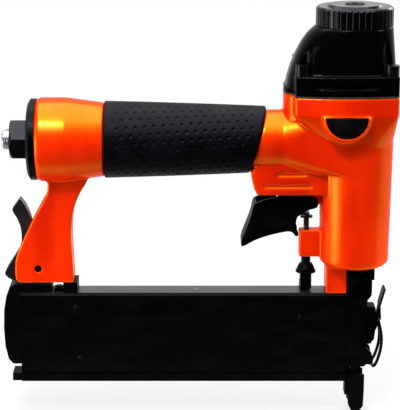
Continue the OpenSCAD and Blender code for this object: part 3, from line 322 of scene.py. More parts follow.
@dataclass(frozen=True)
class Enamel(Finish):
    """Glossy stoved paint on a casting: orange peel, upright bands of painted shade, painted
    highlights on its edges and a clear coat.

    Attributes:
        shade: The paint's colour in shade, painted in upright bands; the dirt specks take it too.
        edge: Paler colour painted on sharp edges as a highlight.
        peel: Height of the orange peel, in metres.
        gloss: Roughness of the paint.
        coat: Weight of the clear coat.
        shine: Strength of the paint's own highlights.
        painted_shade: Share of the painted shade in the upright bands.
        wear_and_edge_highlight: Share of the painted edge highlight.
        dirt: Share of the deeper colour in the specks.
        smear: How much rougher haze and specks make the paint.
    """

    shade: Colour
    edge: Colour
    peel: float = 0.00006
    gloss: float = 0.22
    coat: float = 0.035
    shine: float = 0.03
    painted_shade: float = 0.75
    wear_and_edge_highlight: float = 0.5
    dirt: float = 0.12
    smear: float = 0.1

    def shade_streaks(self, graph: Graph) -> Wire:
        """Upright bands where shade is painted into the colour, from 0 to 1."""
        return graph.noise(scale=44.0, detail=3.0, stretch=(1.0, 1.0, 0.35)).between(0.35, 0.65)

    def paint(self, graph: Graph) -> dict[str, Any]:
        """Draws the paint's colour, roughness and relief.

        Args:
            graph: Nodes of the material.

        Returns:
            Inputs of the paint's shader.
        """
        specks = graph.noise(scale=2600.0).between(0.68, 0.78)
        patches = graph.noise(scale=160.0, detail=4.0).between(0.3, 0.65)
        # Painted highlight: sharp edges, broken into patches, turn to the paler edge colour.
        edge_highlight = graph.corners().between(0.515, 0.57) * patches
        # Painted shade: the paint darkens to its shade colour in upright bands.
        colour = graph.blend(self.shade_streaks(graph) * self.painted_shade, self.colour, self.shade)
        colour = graph.blend(edge_highlight * self.wear_and_edge_highlight, colour, self.edge)
        colour = graph.blend(specks * self.dirt, colour, self.shade)
        haze = graph.noise(scale=60.0, detail=4.0)
        relief = graph.noise(scale=420.0) + graph.noise(scale=1500.0) * 0.25
        return {
            "Base Color": colour,
            "Roughness": self.gloss + haze * self.smear + specks * self.smear,
            "Coat Weight": self.coat,
            "Coat Roughness": 0.03,
            "Coat IOR": 1.5,
            "Specular IOR Level": self.shine,
            "Normal": graph.bump(relief, self.peel),
        }

    def nodes(self, graph: Graph) -> None:
        """Draws the paint."""
        graph.surface(self.paint(graph))


@dataclass(frozen=True)
class FlakeEnamel(Enamel):
    """Enamel with fine gilt flakes, which turn its broad highlights yellow.

    Attributes:
        glint: Colour of the flakes.
        flakes: Mean share of the flakes.
        mottle: Share of the edge colour among the flakes.
        spread: Range of the flakes' share, which follows the bands of painted shade.
        scatter: How much rougher the flakes are than the paint.
    """

    glint: Colour = (1.0, 0.45, 0.003)
    flakes: float = 0.15
    mottle: float = 0.3
    spread: float = 0.3
    scatter: float = 0.06

    def nodes(self, graph: Graph) -> None:
        """Draws the paint and its flakes.

        Args:
            graph: Nodes of the material.
        """
        paint = self.paint(graph)
        clouds = graph.noise(scale=300.0, detail=3.0)
        flakes = {
            "Base Color": graph.blend(clouds * self.mottle, self.glint, self.edge),
            "Metallic": 1.0,
            "Roughness": paint["Roughness"] + self.scatter,
            "Specular Tint": self.glint,
            "Normal": paint["Normal"],
        }
        even = 1.0 - self.spread / 2.0
        graph.surface(paint, flakes, (self.shade_streaks(graph) * self.spread + even) * self.flakes)


@dataclass(frozen=True)
class Rubber(Finish):
    """Moulded rubber: leathery grain, matt, paler with dust on its ridges and on patches of wear.

    Attributes:
        dust: Colour of the dust.
        grain: Height of the grain, in metres.
        gloss: Roughness of the clean rubber.
        shine: Strength of the highlights.
        wear_and_edge_highlight: Share of the dust on patches of wear.
        dusty: Share of the dust on the ridges of the grain.
    """

    dust: Colour = (0.06, 0.058, 0.07)
    grain: float = 0.00008
    gloss: float = 0.4
    shine: float = 0.06
    wear_and_edge_highlight: float = 0.45
    dusty: float = 0.3

    def nodes(self, graph: Graph) -> None:
        """Draws the rubber.

        Args:
            graph: Nodes of the material.
        """
        leather = graph.cells(950.0)
        fine = graph.noise(scale=2400.0, detail=3.0)
        wear = graph.noise(scale=70.0, detail=4.0).between(0.4, 0.7)
        pale = wear * self.wear_and_edge_highlight + leather * self.dusty
        graph.surface(
            {
                "Base Color": graph.blend(pale, self.colour, self.dust),
                "Roughness": self.gloss + wear * 0.14 + fine * 0.12,
                "Specular IOR Level": self.shine,
                "Specular Tint": SHEEN,
                "Normal": graph.bump(leather * 0.7 + fine * 0.45, self.grain),
            }
        )


@dataclass(frozen=True)
class BlackSkin(Finish):
    """What the black plastics and coatings share: a tone that is paler where it is rubbed.

    Attributes:
        gloss: Roughness of the skin.
        skin: Height of the skin's texture, in metres.
        shine: Strength of the highlights.
        rub_gain: Gain of the rubbed tone.
        rub_lift: Lift of the rubbed tone.
    """

    gloss: float = 0.3
    skin: float = 0.00002
    shine: float = 0.1
    rub_gain: float = 1.5
    rub_lift: float = 0.0015

    def skinned(self, graph: Graph, rubbed: Wire, roughness: Wire, relief: Wire) -> None:
        """Draws the skin.

        Args:
            graph: Nodes of the material.
            rubbed: Share of the rubbed tone.
            roughness: What is added to the roughness.
            relief: Texture of the skin.
        """
        pale = self.toned(self.rub_gain, self.rub_lift)
        graph.surface(
            {
                "Base Color": graph.blend(rubbed, self.colour, pale),
                "Roughness": self.gloss + roughness,
                "Specular IOR Level": self.shine,
                "Specular Tint": SHEEN,
                "Normal": graph.bump(relief, self.skin),
            }
        )


@dataclass(frozen=True)
class Plastic(BlackSkin):
    """Moulded plastic with a spark-eroded skin."""

    def nodes(self, graph: Graph) -> None:
        """Draws the plastic.

        Args:
            graph: Nodes of the material.
        """
        fine = graph.noise(scale=3200.0, detail=3.0)
        rub = graph.noise(scale=90.0, detail=5.0).between(0.45, 0.75)
        self.skinned(graph, rub * 0.3, rub * 0.12 + fine * 0.06, fine)


@dataclass(frozen=True)
class CoatedSteel(BlackSkin):
    """Black coated steel: fine grain, rubbed patches and faint drawing lines."""

    skin: float = 0.00003

    def nodes(self, graph: Graph) -> None:
        """Draws the coating.

        Args:
            graph: Nodes of the material.
        """
        fine = graph.noise(scale=2600.0, detail=3.0)
        rub = graph.noise(scale=46.0, detail=5.0, stretch=(1.0, 1.0, 2.5)).between(0.42, 0.72)
        lines = graph.noise(scale=520.0, stretch=(0.12, 1.0, 2.2)).between(0.6, 0.72)
        roughness = rub * 0.1 + fine * 0.1 - lines * 0.05
        self.skinned(graph, rub * 0.4 + lines * 0.12, roughness, fine + lines * 0.4)


@dataclass(frozen=True)
class BareSteel(Finish):
    """Bare steel with tool marks, oil and a little tarnish.

    Attributes:
        grain: The way in which the marks run.
        gloss: Roughness between the marks.
        tarnish: Tone of the oiled patches, as a share of the main colour.
        marks: Height of the marks, in metres.
    """

    grain: Grain = Grain.EVEN
    gloss: float = 0.2
    tarnish: float = 0.55
    marks: float = 0.000025

    def nodes(self, graph: Graph) -> None:
        """Draws the steel.

        Args:
            graph: Nodes of the material.
        """
        marks = graph.noise(scale=900.0, detail=3.0, stretch=self.grain.value)
        oil = graph.noise(scale=120.0, detail=4.0).between(0.45, 0.7)
        dark = self.toned(self.tarnish)
        graph.surface(
            {
                "Base Color": graph.blend(oil * 0.4 + marks * 0.2, self.colour, dark),
                "Metallic": 1.0,
                "Roughness": self.gloss + marks * 0.16 + oil * 0.08,
                "Normal": graph.bump(marks, self.marks),
            }
        )


@dataclass(frozen=True)
class GasketPaper(Finish):
    """Fibrous gasket paper, dark where it has soaked up oil.

    Attributes:
        oiled: Tone of the oiled fibres, as a share of the main colour.
        nap: Height of the fibres, in metres.
    """

    oiled: float = 0.4
    nap: float = 0.00004

    def nodes(self, graph: Graph) -> None:
        """Draws the paper.

        Args:
            graph: Nodes of the material.
        """
        fibre = graph.noise(scale=1400.0, detail=5.0, stretch=(1.0, 1.0, 3.0))
        dark = self.toned(self.oiled)
        graph.surface(
            {
                "Base Color": graph.blend(fibre.between(0.4, 0.65), self.colour, dark),
                "Roughness": 0.75 + fibre * 0.15,
                "Normal": graph.bump(fibre, self.nap),
            }
        )


ORANGE = FlakeEnamel(
    "orange_enamel",
    "body_paint",
    (0.86, 0.02, 0.001),
    # The shade colour is painted into upright bands as shade.
    shade=(0.64, 0.0008, 0.0008),
    # The edge colour is painted on sharp edges as a highlight.
    edge=(0.95, 0.16, 0.003),
)
BLACK_GLOSS = Enamel(
    "black_enamel",
    "cap_paint",
    (0.0008, 0.0008, 0.0011),
    # The shade colour is painted into upright bands as shade.
    shade=(0.0006, 0.0006, 0.0008),
    # The edge colour is painted on sharp edges as a highlight.
    edge=(0.003, 0.003, 0.004),
    peel=0.00003,
    gloss=0.16,
    coat=0.055,
    shine=0.015,
)
DEFLECTOR_PLASTIC = Plastic(
    "moulded_deflector_plastic",
    "deflector_plastic",
    (0.0009, 0.0009, 0.0012),
    gloss=0.12,
    skin=0.00004,
    shine=0.14,
)
GRIP_RUBBER = Rubber(
    "dimpled_grip_rubber", "grip_rubber", (0.0004, 0.00035, 0.0006), dust=(0.003, 0.0027, 0.0045)
)
BUMPER_RUBBER = Rubber("moulded_bumper_rubber", "bumper_rubber", (0.03, 0.03, 0.03))
PAPER = GasketPaper("oiled_gasket_paper", "gasket_paper", (0.03, 0.022, 0.014))
BLACK_PLASTIC = Plastic(
    "moulded_black_plastic", "black_plastic", (0.0009, 0.0009, 0.0012), gloss=0.34, shine=0.045
)
BLACK_STEEL = CoatedSteel(
    "black_coated_steel", "black_metal", (0.0007, 0.0007, 0.0009), gloss=0.36, shine=0.035
)
RAIL_STEEL = CoatedSteel(
    "rubbed_rail_steel", "black_metal", (0.006, 0.0055, 0.0065), gloss=0.3, shine=0.46
)
OXIDE_STEEL = CoatedSteel(
    "black_oxide_steel", "dark_steel", (0.0015, 0.0015, 0.0022), gloss=0.18, shine=0.16
)
DARK_STEEL = BareSteel("dark_oiled_steel", "dark_steel", (0.11, 0.11, 0.125), gloss=0.26)
BRIGHT_STEEL = BareSteel("turned_bright_steel", "bright_steel", (0.62, 0.62, 0.64))
GROUND_STEEL = BareSteel("ground_steel", "bright_steel", (0.55, 0.55, 0.57), grain=Grain.ALONG_Z)
BADGE_FOIL = Plastic(
    "badge_foil", "black_plastic", (0.0015, 0.0015, 0.0018), gloss=0.22, skin=0.00001, shine=0.06
)


class Workshop:
    """Mesh operations that several sub-assemblies share.

    Attributes:
        WELD: Distance at which points of a skin become one.
        ROUNDING: Strength of one smoothing pass.
        HEAD_SIDES: Sides of a rivet head.
        HEAD_PROFILE: Shares of a rivet head's height and radius, from its underside up.
        HEAD_CREASE: Angle of a rivet head's sharp edges, in degrees.
    """

    WELD: float = 1e-7
    ROUNDING: float = 0.5
    HEAD_SIDES: int = 20
    HEAD_PROFILE: Pairs = ((0.0, 1.0), (0.35, 0.97), (0.68, 0.8), (0.92, 0.48), (1.0, 0.12))
    HEAD_CREASE: float = 50.0

    @staticmethod
    def piece(name: str, mesh: bpy.types.Mesh, body: str, finish: Finish) -> bpy.types.Object:
        """Makes a piece that rides on a body.

        Args:
            name: Name of the piece.
            mesh: Its mesh, in the frame of the solids.
            body: Body that it rides on.
            finish: Its finish.

        Returns:
            The new object.
        """
        made = bpy.data.objects.new(name, mesh)
        bpy.context.scene.collection.objects.link(made)
        mesh.materials.clear()
        mesh.materials.append(finish.material())
        finish.fill(made)
        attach(made, body)
        LOG.info("%s rides on %s with %d faces", name, body, len(mesh.polygons))
        return made

    @staticmethod
    def smooth(mesh: bpy.types.Mesh, angle: float) -> None:
        """Shades a mesh smooth, apart from its sharp edges.

        Args:
            mesh: The mesh.
            angle: Angle between faces from which an edge is sharp, in degrees.
        """
        work = bmesh.new()
        work.from_mesh(mesh)
        for face in work.faces:
            face.smooth = True
        for edge in work.edges:
            edge.smooth = edge.calc_face_angle(math.pi) < math.radians(angle)
        work.to_mesh(mesh)
        work.free()

    @staticmethod
    def filleted(node: str, name: str, voxel: float, passes: int, keep: float) -> bpy.types.Mesh:
        """Copies a casting's solid and rounds its edges and inner corners, as a mould does.

        Args:
            node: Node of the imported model.
            name: Name of the new mesh.
            voxel: Size of the remeshing cells.
            passes: Number of smoothing passes, which set the size of the fillets.
            keep: Share of the faces that stay after thinning out.

        Returns:
            The new mesh.
        """
        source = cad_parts[node]
        work = bpy.data.objects.new(name + "_work", source.data.copy())
        bpy.context.scene.collection.objects.link(work)
        cells = work.modifiers.new("cells", "REMESH")
        cells.mode = "VOXEL"
        cells.voxel_size = voxel
        rounding = work.modifiers.new("rounding", "SMOOTH")
        rounding.factor = Workshop.ROUNDING
        rounding.iterations = passes
        thinning = work.modifiers.new("thinning", "DECIMATE")
        thinning.ratio = keep
        bpy.context.view_layer.update()
        shaped = work.evaluated_get(bpy.context.evaluated_depsgraph_get())
        made = bpy.data.meshes.new_from_object(shaped)
        made.name = name
        bpy.data.objects.remove(work)
        made.polygons.foreach_set("use_smooth", [True] * len(made.polygons))
        return made

    @staticmethod
    def grid(rows: Sequence[Sequence[Point]], name: str) -> bpy.types.Mesh:
        """Skins rows of points, each of which closes on itself.

        Args:
            rows: Rows of equally many points.
            name: Name of the mesh.

        Returns:
            The mesh, with its normals outwards.
        """
        wide = len(rows[0])
        faces = []
        for low in range(0, (len(rows) - 1) * wide, wide):
            high = low + wide
            for k in range(wide):
                after = (k + 1) % wide
                faces.append((low + k, low + after, high + after, high + k))
        mesh = bpy.data.meshes.new(name)
        mesh.from_pydata([point for row in rows for point in row], [], faces)
        work = bmesh.new()
        work.from_mesh(mesh)
        bmesh.ops.remove_doubles(work, verts=work.verts, dist=Workshop.WELD)
        bmesh.ops.recalc_face_normals(work, faces=work.faces)
        work.to_mesh(mesh)
        work.free()
        return mesh

    @staticmethod
    def heads(
        places: Iterable[Point], outward: Point, radius: float, height: float, name: str
    ) -> bpy.types.Mesh:
        """Domed rivet heads.

        Args:
            places: Middles of their undersides.
            outward: Direction in which they stand out.
            radius: Radius of a head.
            height: Height of a head.
            name: Name of the mesh.

        Returns:
            One mesh with all the heads.
        """
        work = bmesh.new()
        sides = range(Workshop.HEAD_SIDES)
        angles = [FULL_TURN * k / len(sides) for k in sides]
        turn = Vector(UP).rotation_difference(Vector(outward)).to_matrix().to_4x4()
        for place in places:
            put = Matrix.Translation(place) @ turn
            rings = []
            for lift, width in Workshop.HEAD_PROFILE:
                r, z = radius * width, height * lift
                points = [Vector((r * math.cos(a), r * math.sin(a), z)) for a in angles]
                rings.append([work.verts.new(put @ point) for point in points])
            for low, high in zip(rings, rings[1:]):
                for k in sides:
                    after = (k + 1) % len(sides)
                    work.faces.new((low[k], low[after], high[after], high[k]))
            work.faces.new(rings[-1])
            work.faces.new(rings[0][::-1])
        mesh = bpy.data.meshes.new(name)
        bmesh.ops.recalc_face_normals(work, faces=work.faces)
        work.to_mesh(mesh)
        work.free()
        Workshop.smooth(mesh, Workshop.HEAD_CREASE)
        return mesh


@dataclass(frozen=True)
class Solid:
    """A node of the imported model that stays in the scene, with its finish.

    Attributes:
        node: Name of the node.
        finish: Its finish.
        edge: Width of its broken edges; 0 leaves them as they are.
        flat: Angle up to which faces count as one flat, in degrees.
        crease: Angle from which an edge is broken, in degrees.
        steps: Faces across a broken edge.
    """

    node: str
    finish: Finish
    edge: float = 0.0
    flat: float = 0.6
    crease: float = 32.0
    steps: int = 2

    def keep(self) -> None:
        """Dresses the node and breaks its sharp edges."""
        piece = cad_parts[self.node]
        self.finish.fill(piece)
        if self.edge > 0.0:
            flats = piece.modifiers.new("flats", "DECIMATE")
            flats.decimate_type = "DISSOLVE"
            flats.angle_limit = math.radians(self.flat)
            breaking = piece.modifiers.new("breaking", "BEVEL")
            breaking.width = self.edge
            breaking.segments = self.steps
            breaking.limit_method = "ANGLE"
            breaking.angle_limit = math.radians(self.crease)
            breaking.harden_normals = True
            breaking.use_clamp_overlap = True
        LOG.info("%s stays with %s", self.node, self.finish.name)


@dataclass
class Assembly:
    """A sub-assembly.

    Attributes:
        solids: Its solids that stay in the scene, each with its finish.
    """

    solids: tuple[Solid, ...] = ()

    def build(self) -> None:
        """Dresses the solids that stay."""
        for solid in self.solids:
            solid.keep()


@dataclass
class CastBody(Assembly):
    """The orange casting with its badge seat.

    Attributes:
        voxel: Size of the remeshing cells.
        passes: Smoothing passes.
        keep: Share of the faces that stay.
        badge: Middle of the flat edge of the badge seat.
        badge_r: Radius of the bare badge.
        badge_tilt: Slope of the badge seat, in degrees.
        badge_drop: Gap between the flat edges of the seat and the badge.
        badge_rim: Inset and height of the badge's rim, from the seat up.
        badge_top: Height of the middle of the badge.
        badge_lean: Inset of the flat edge, as a share of the inset of the round one.
        badge_steps: Faces round the badge.
        badge_crease: Angle of the badge's sharp edges, in degrees.
    """

    voxel: float = 0.00075
    passes: int = 6
    keep: float = 0.6
    badge: Point = (-0.007, -0.029, 0.2005)
    badge_r: float = 0.0133
    badge_tilt: float = 13.3
    badge_drop: float = 0.0002
    badge_rim: Pairs = ((0.0, 0.0002), (0.0, 0.00072), (0.00025, 0.00086), (0.0006, 0.0009))
    badge_top: float = 0.00092
    badge_lean: float = 0.2
    badge_steps: int = 48
    badge_crease: float = 35.0

    def build(self) -> None:
        """Makes the casting and the bare badge plate."""
        mesh = Workshop.filleted("main_body", "cast_body", self.voxel, self.passes, self.keep)
        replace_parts(Workshop.piece("cast_body", mesh, "root", ORANGE), "main_body")
        Workshop.piece("badge_plate", self.plate(), "root", BADGE_FOIL)

    def plate(self) -> bpy.types.Mesh:
        """The bare half disc in the badge seat.

        Returns:
            Its mesh, laid on the slope of the seat.
        """
        tilt = Matrix.Rotation(math.radians(90.0 - self.badge_tilt), 4, "X")
        put = Matrix.Translation(self.badge) @ tilt
        angles = [math.pi + math.pi * k / self.badge_steps for k in range(self.badge_steps + 1)]
        rows = []
        for inset, lift in (*self.badge_rim, (self.badge_r, self.badge_top)):
            r = self.badge_r - inset
            down = self.badge_drop + inset * self.badge_lean
            arc = [Vector((r * math.cos(a), r * math.sin(a) - down, lift)) for a in angles]
            rows.append([tuple(put @ point) for point in arc])
        mesh = Workshop.grid(rows, "badge_plate")
        Workshop.smooth(mesh, self.badge_crease)
        return mesh


@dataclass
class HeadCap(Assembly):
    """The black cap, its gasket, screws and turning deflector.

    Attributes:
        voxel: Size of the remeshing cells.
        passes: Smoothing passes.
        keep: Share of the faces that stay.
    """

    solids: tuple[Solid, ...] = (
        Solid("cap_gasket", PAPER),
        Solid("cap_screws", OXIDE_STEEL, edge=0.0004),
        Solid("deflector", DEFLECTOR_PLASTIC, edge=0.0003),
        Solid("deflector_screw", BLACK_STEEL, edge=0.0003),
    )
    voxel: float = 0.0007
    passes: int = 4
    keep: float = 0.6

    def build(self) -> None:
        """Makes the rounded cap and dresses what sits on it."""
        mesh = Workshop.filleted("cylinder_cap", "cast_cap", self.voxel, self.passes, self.keep)
        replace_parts(Workshop.piece("cast_cap", mesh, "root", BLACK_GLOSS), "cylinder_cap")
        super().build()


@dataclass
class Drive(Assembly):
    """The cylinder, piston, blade and valves, out of sight at rest."""

    solids: tuple[Solid, ...] = (
        Solid("cylinder_sleeve", GROUND_STEEL),
        Solid("piston", GROUND_STEEL),
        Solid("driver_blade", GROUND_STEEL),
        Solid("head_valve_spring", GROUND_STEEL),
        Solid("valve_stem", GROUND_STEEL),
        Solid("bumper", BUMPER_RUBBER),
        Solid("head_valve", BLACK_PLASTIC),
        Solid("valve_body", DARK_STEEL),
    )


@dataclass
class Grip(Assembly):
    """The rubber sleeve with its staggered dimples.

    Attributes:
        axis_z: Height of the handle axis.
        rear_x: Rear end of the sleeve.
        front_x: Front end at the middle of its slant.
        rear_r: Outer radius at the rear.
        front_r: Outer radius at the front.
        wall: Wall of the sleeve.
        slant: Lean of the front end, in degrees.
        swell: Height by which the sleeve bulges at its middle.
        edge: Size of the rounded edge at each end.
        edge_profile: Way along and inset of the rounded edge, as shares of its size.
        edge_steps: Stations of the sleeve that each rounded edge takes up.
        around: Points round the sleeve.
        along: Points along it.
        pitch: Distance between dimples along the sleeve.
        rows: Rows of dimples round the sleeve.
        climb: Rise of a row per length along the sleeve.
        dimple_r: Radius of a dimple.
        dimple_depth: Depth of a dimple.
        margin: Plain length at each end.
        crease: Angle of the sleeve's sharp edges, in degrees.
    """

    axis_z: float = 0.181
    rear_x: float = -0.1579
    front_x: float = -0.061
    rear_r: float = 0.0244
    front_r: float = 0.0212
    wall: float = 0.0033
    slant: float = 13.5
    swell: float = 0.00025
    edge: float = 0.0012
    edge_profile: Pairs = ((0.0, 1.0), (0.1, 0.55), (0.35, 0.2), (1.0, 0.0))
    edge_steps: int = 3
    around: int = 288
    along: int = 210
    pitch: float = 0.0058
    rows: int = 28
    climb: float = 0.075
    dimple_r: float = 0.00135
    dimple_depth: float = 0.0007
    margin: float = 0.006
    crease: float = 50.0

    def dimple(self, x: float, turn: float, left: float) -> float:
        """Depth of the dimples at a point of the sleeve.

        Args:
            x: Distance from the rear end.
            turn: Angle round the sleeve.
            left: Distance that is left to the front end.

        Returns:
            The depth.
        """
        if x < self.margin or left < self.margin:
            return 0.0
        middle_r = (self.rear_r + self.front_r) / 2
        gap = FULL_TURN * middle_r / self.rows
        v = turn * middle_r - self.climb * x
        row = round(v / gap)
        shift = 0.5 * self.pitch * (row % 2)
        u = (x - shift) / self.pitch
        away = math.hypot((u - round(u)) * self.pitch, v - row * gap) / self.dimple_r
        return self.dimple_depth * (1.0 - away * away) ** 2 if away < 1.0 else 0.0

    def ring(self, share: float, near: float, inset: float) -> list[Point]:
        """Points round the sleeve at one station.

        Args:
            share: Share of the sleeve's length, from its rear end.
            near: Distance from there towards the front.
            inset: Depth below the sleeve's surface.

        Returns:
            The points.
        """
        lean = math.tan(math.radians(self.slant))
        skin_r = self.rear_r + (self.front_r - self.rear_r) * share
        bulge = self.swell * math.sin(math.pi * share)
        points = []
        for k in range(self.around):
            turn = FULL_TURN * k / self.around
            length = self.front_x + lean * skin_r * math.cos(turn) - self.rear_x
            x = share * length + near
            r = skin_r + bulge - inset - self.dimple(x, turn, length - x)
            points.append((self.rear_x + x, r * math.sin(turn), self.axis_z + r * math.cos(turn)))
        return points

    def build(self) -> None:
        """Makes the sleeve in place of its plain solid."""
        rounded = [(along * self.edge, inset * self.edge) for along, inset in self.edge_profile]
        ends = [(0.0, self.wall), *rounded]
        middle = range(self.edge_steps, self.along - self.edge_steps + 1)
        stations = [(0.0, near, inset) for near, inset in ends]
        stations += [(k / self.along, 0.0, 0.0) for k in middle]
        stations += [(1.0, -near, inset) for near, inset in reversed(ends)]
        mesh = Workshop.grid([self.ring(*station) for station in stations], "grip_dimpled")
        Workshop.smooth(mesh, self.crease)
        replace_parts(Workshop.piece("grip_dimpled", mesh, "root", GRIP_RUBBER), "grip_sleeve")


@dataclass
class AirInlet(Assembly):
    """The rear cap, the hexagon bushing and the threaded air plug.

    Attributes:
        axis_z: Height of the handle axis.
        tip_x: Free end of the plug.
        root_x: Where the plug enters the bushing.
        thread_r: Outer radius of the thread.
        pitch: Pitch of the thread.
        depth: Depth of the thread.
        crest: Flat at the crest, as a share of the pitch.
        run_out: Length over which the thread ends, as a share of the pitch.
        lead_in: Chamfer at the tip.
        bore_r: Radius of the air passage.
        bore_len: Length of the passage that is drawn.
        mouth_len: Length of the chamfer at the mouth of the passage.
        mouth_rise: Height of that chamfer.
        around: Points round the plug.
        along: Stations along the thread.
        crease: Angle of the plug's sharp edges, in degrees.
    """

    solids: tuple[Solid, ...] = (
        Solid("rear_cap", BLACK_PLASTIC, edge=0.0006),
        Solid("inlet_bushing", OXIDE_STEEL, edge=0.0004),
    )
    axis_z: float = 0.181
    tip_x: float = -0.2226
    root_x: float = -0.2175
    thread_r: float = 0.00658
    pitch: float = 0.00134
    depth: float = 0.00075
    crest: float = 0.08
    run_out: float = 0.6
    lead_in: float = 0.0011
    bore_r: float = 0.0035
    bore_len: float = 0.0141
    mouth_len: float = 0.0007
    mouth_rise: float = 0.0006
    around: int = 72
    along: int = 64
    crease: float = 35.0

    def build(self) -> None:
        """Makes the thread and dresses the rear end of the handle."""
        super().build()
        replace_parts(Workshop.piece("plug_thread", self.thread(), "root", BRIGHT_STEEL), "air_plug")

    def radius(self, x: float, share: float) -> float:
        """Radius of the thread at a point.

        Args:
            x: Distance from the tip.
            share: Share of a turn round the plug.

        Returns:
            The radius.
        """
        phase = (x / self.pitch + share) % 1.0
        dip = self.depth * max(0.0, abs(2.0 * phase - 1.0) - self.crest)
        fade = min(1.0, (self.root_x - self.tip_x - x) / (self.run_out * self.pitch))
        return self.thread_r - max(dip * fade, self.lead_in - x)

    def ring(self, x: float, radii: Sequence[float]) -> list[Point]:
        """Points round the plug at one station.

        Args:
            x: Distance from the tip.
            radii: Radius at each point.

        Returns:
            The points.
        """
        points = []
        for k, r in enumerate(radii):
            turn = FULL_TURN * k / self.around
            points.append((self.tip_x + x, r * math.sin(turn), self.axis_z + r * math.cos(turn)))
        return points

    def thread(self) -> bpy.types.Mesh:
        """The plug with a running thread, a lead-in chamfer and its bore.

        Returns:
            Its mesh.
        """
        bore = (
            (self.bore_len, self.bore_r),
            (self.mouth_len, self.bore_r),
            (0.0, self.bore_r + self.mouth_rise),
        )
        rows = [self.ring(x, [r] * self.around) for x, r in bore]
        for step in range(self.along + 1):
            x = (self.root_x - self.tip_x) * step / self.along
            radii = [self.radius(x, k / self.around) for k in range(self.around)]
            rows.append(self.ring(x, radii))
        mesh = Workshop.grid(rows, "plug_thread")
        Workshop.smooth(mesh, self.crease)
        return mesh


@dataclass
class TriggerGroup(Assembly):
    """The trigger, its lever and their pins."""

    solids: tuple[Solid, ...] = (
        Solid("trigger", BLACK_STEEL, edge=0.0007),
        Solid("trip_lever", DARK_STEEL, edge=0.0002),
        Solid("trigger_pin", OXIDE_STEEL, edge=0.0002),
        Solid("trip_lever_pin", OXIDE_STEEL, edge=0.0002),
    )


@dataclass
class WorkContact(Assembly):
    """The sprung contact with its rod, wheel, arm and foot."""

    solids: tuple[Solid, ...] = (
        Solid("contact_rod", DARK_STEEL, edge=0.0002),
        Solid("contact_spring", BRIGHT_STEEL),
        Solid("depth_wheel", BLACK_PLASTIC, edge=0.0002),
        Solid("contact_arm", BLACK_STEEL, edge=0.0003),
        Solid("contact_foot", BLACK_STEEL, edge=0.0003),
    )


@dataclass
class Nose(Assembly):
    """The nose block, its door and the wire latch."""

    solids: tuple[Solid, ...] = (
        Solid("nose_body", BLACK_STEEL, edge=0.0004),
        Solid("nose_door", BLACK_STEEL, edge=0.0004),
        Solid("door_pin", OXIDE_STEEL, edge=0.0002),
        Solid("lever_pin", OXIDE_STEEL, edge=0.0002),
        Solid("nose_screws", OXIDE_STEEL, edge=0.0002),
        Solid("latch_lever", BLACK_STEEL, edge=0.0003),
        Solid("latch_bail", OXIDE_STEEL),
    )


@dataclass
class Magazine(Assembly):
    """The rail, the sliding channel, its end cap, latch and bracket.

    Attributes:
        half_w: Half the width of the magazine.
        rivets: Places of the channel's rivets, X and Z.
        rivet_r: Radius of a rivet head.
        rivet_h: Height of a rivet head.
        rail_rivet: Place of the rivet in the rail's top plate.
        rail_rivet_r: Radius of its head.
        rail_rivet_h: Height of its head.
    """

    solids: tuple[Solid, ...] = (
        Solid("magazine_rail", RAIL_STEEL, edge=0.0004),
        Solid("magazine_slide", BLACK_STEEL, edge=0.0004),
        Solid("rail_bracket", BLACK_STEEL, edge=0.0004),
        Solid("end_cap", BLACK_PLASTIC, edge=0.0009),
        Solid("magazine_latch", RAIL_STEEL, edge=0.0008),
        Solid("pusher", BRIGHT_STEEL, edge=0.0003),
        Solid("latch_pin", OXIDE_STEEL, edge=0.0003),
        Solid("bracket_screws", OXIDE_STEEL, edge=0.0003),
    )
    half_w: float = 0.008
    rivets: Pairs = ((-0.1775, 0.0725), (-0.1755, 0.0385), (-0.0335, 0.066))
    rivet_r: float = 0.0013
    rivet_h: float = 0.0004
    rail_rivet: Point = (-0.1005, 0.0, 0.082)
    rail_rivet_r: float = 0.002
    rail_rivet_h: float = 0.0005

    def build(self) -> None:
        """Dresses the magazine and adds its rivets."""
        super().build()
        for side in Side:
            places = [(x, side.value * self.half_w, z) for x, z in self.rivets]
            outward = (0.0, float(side.value), 0.0)
            mesh = Workshop.heads(places, outward, self.rivet_r, self.rivet_h, "channel_rivets")
            Workshop.piece(f"channel_rivets_{side.name.lower()}", mesh, "slide", OXIDE_STEEL)
        mesh = Workshop.heads(
            [self.rail_rivet], UP, self.rail_rivet_r, self.rail_rivet_h, "rail_rivet"
        )
        Workshop.piece("rail_rivet", mesh, "root", DARK_STEEL)


@dataclass(frozen=True)
class SoftBox:
    """One square studio lamp.

    Attributes:
        name: Name of the lamp.
        place: Where it hangs.
        size: Width of its face.
        watts: Its power.
    """

    name: str
    place: Point
    size: float
    watts: float

    def hang(self, target: Point) -> None:
        """Hangs the lamp.

        Args:
            target: Point that it faces.
        """
        lamp = bpy.data.lights.new(self.name, "AREA")
        lamp.shape = "SQUARE"
        lamp.size = self.size
        lamp.energy = self.watts
        holder = bpy.data.objects.new(self.name, lamp)
        bpy.context.scene.collection.objects.link(holder)
        holder.location = self.place
        way = Vector(target) - Vector(self.place)
        holder.rotation_euler = way.to_track_quat("-Z", "Y").to_euler()


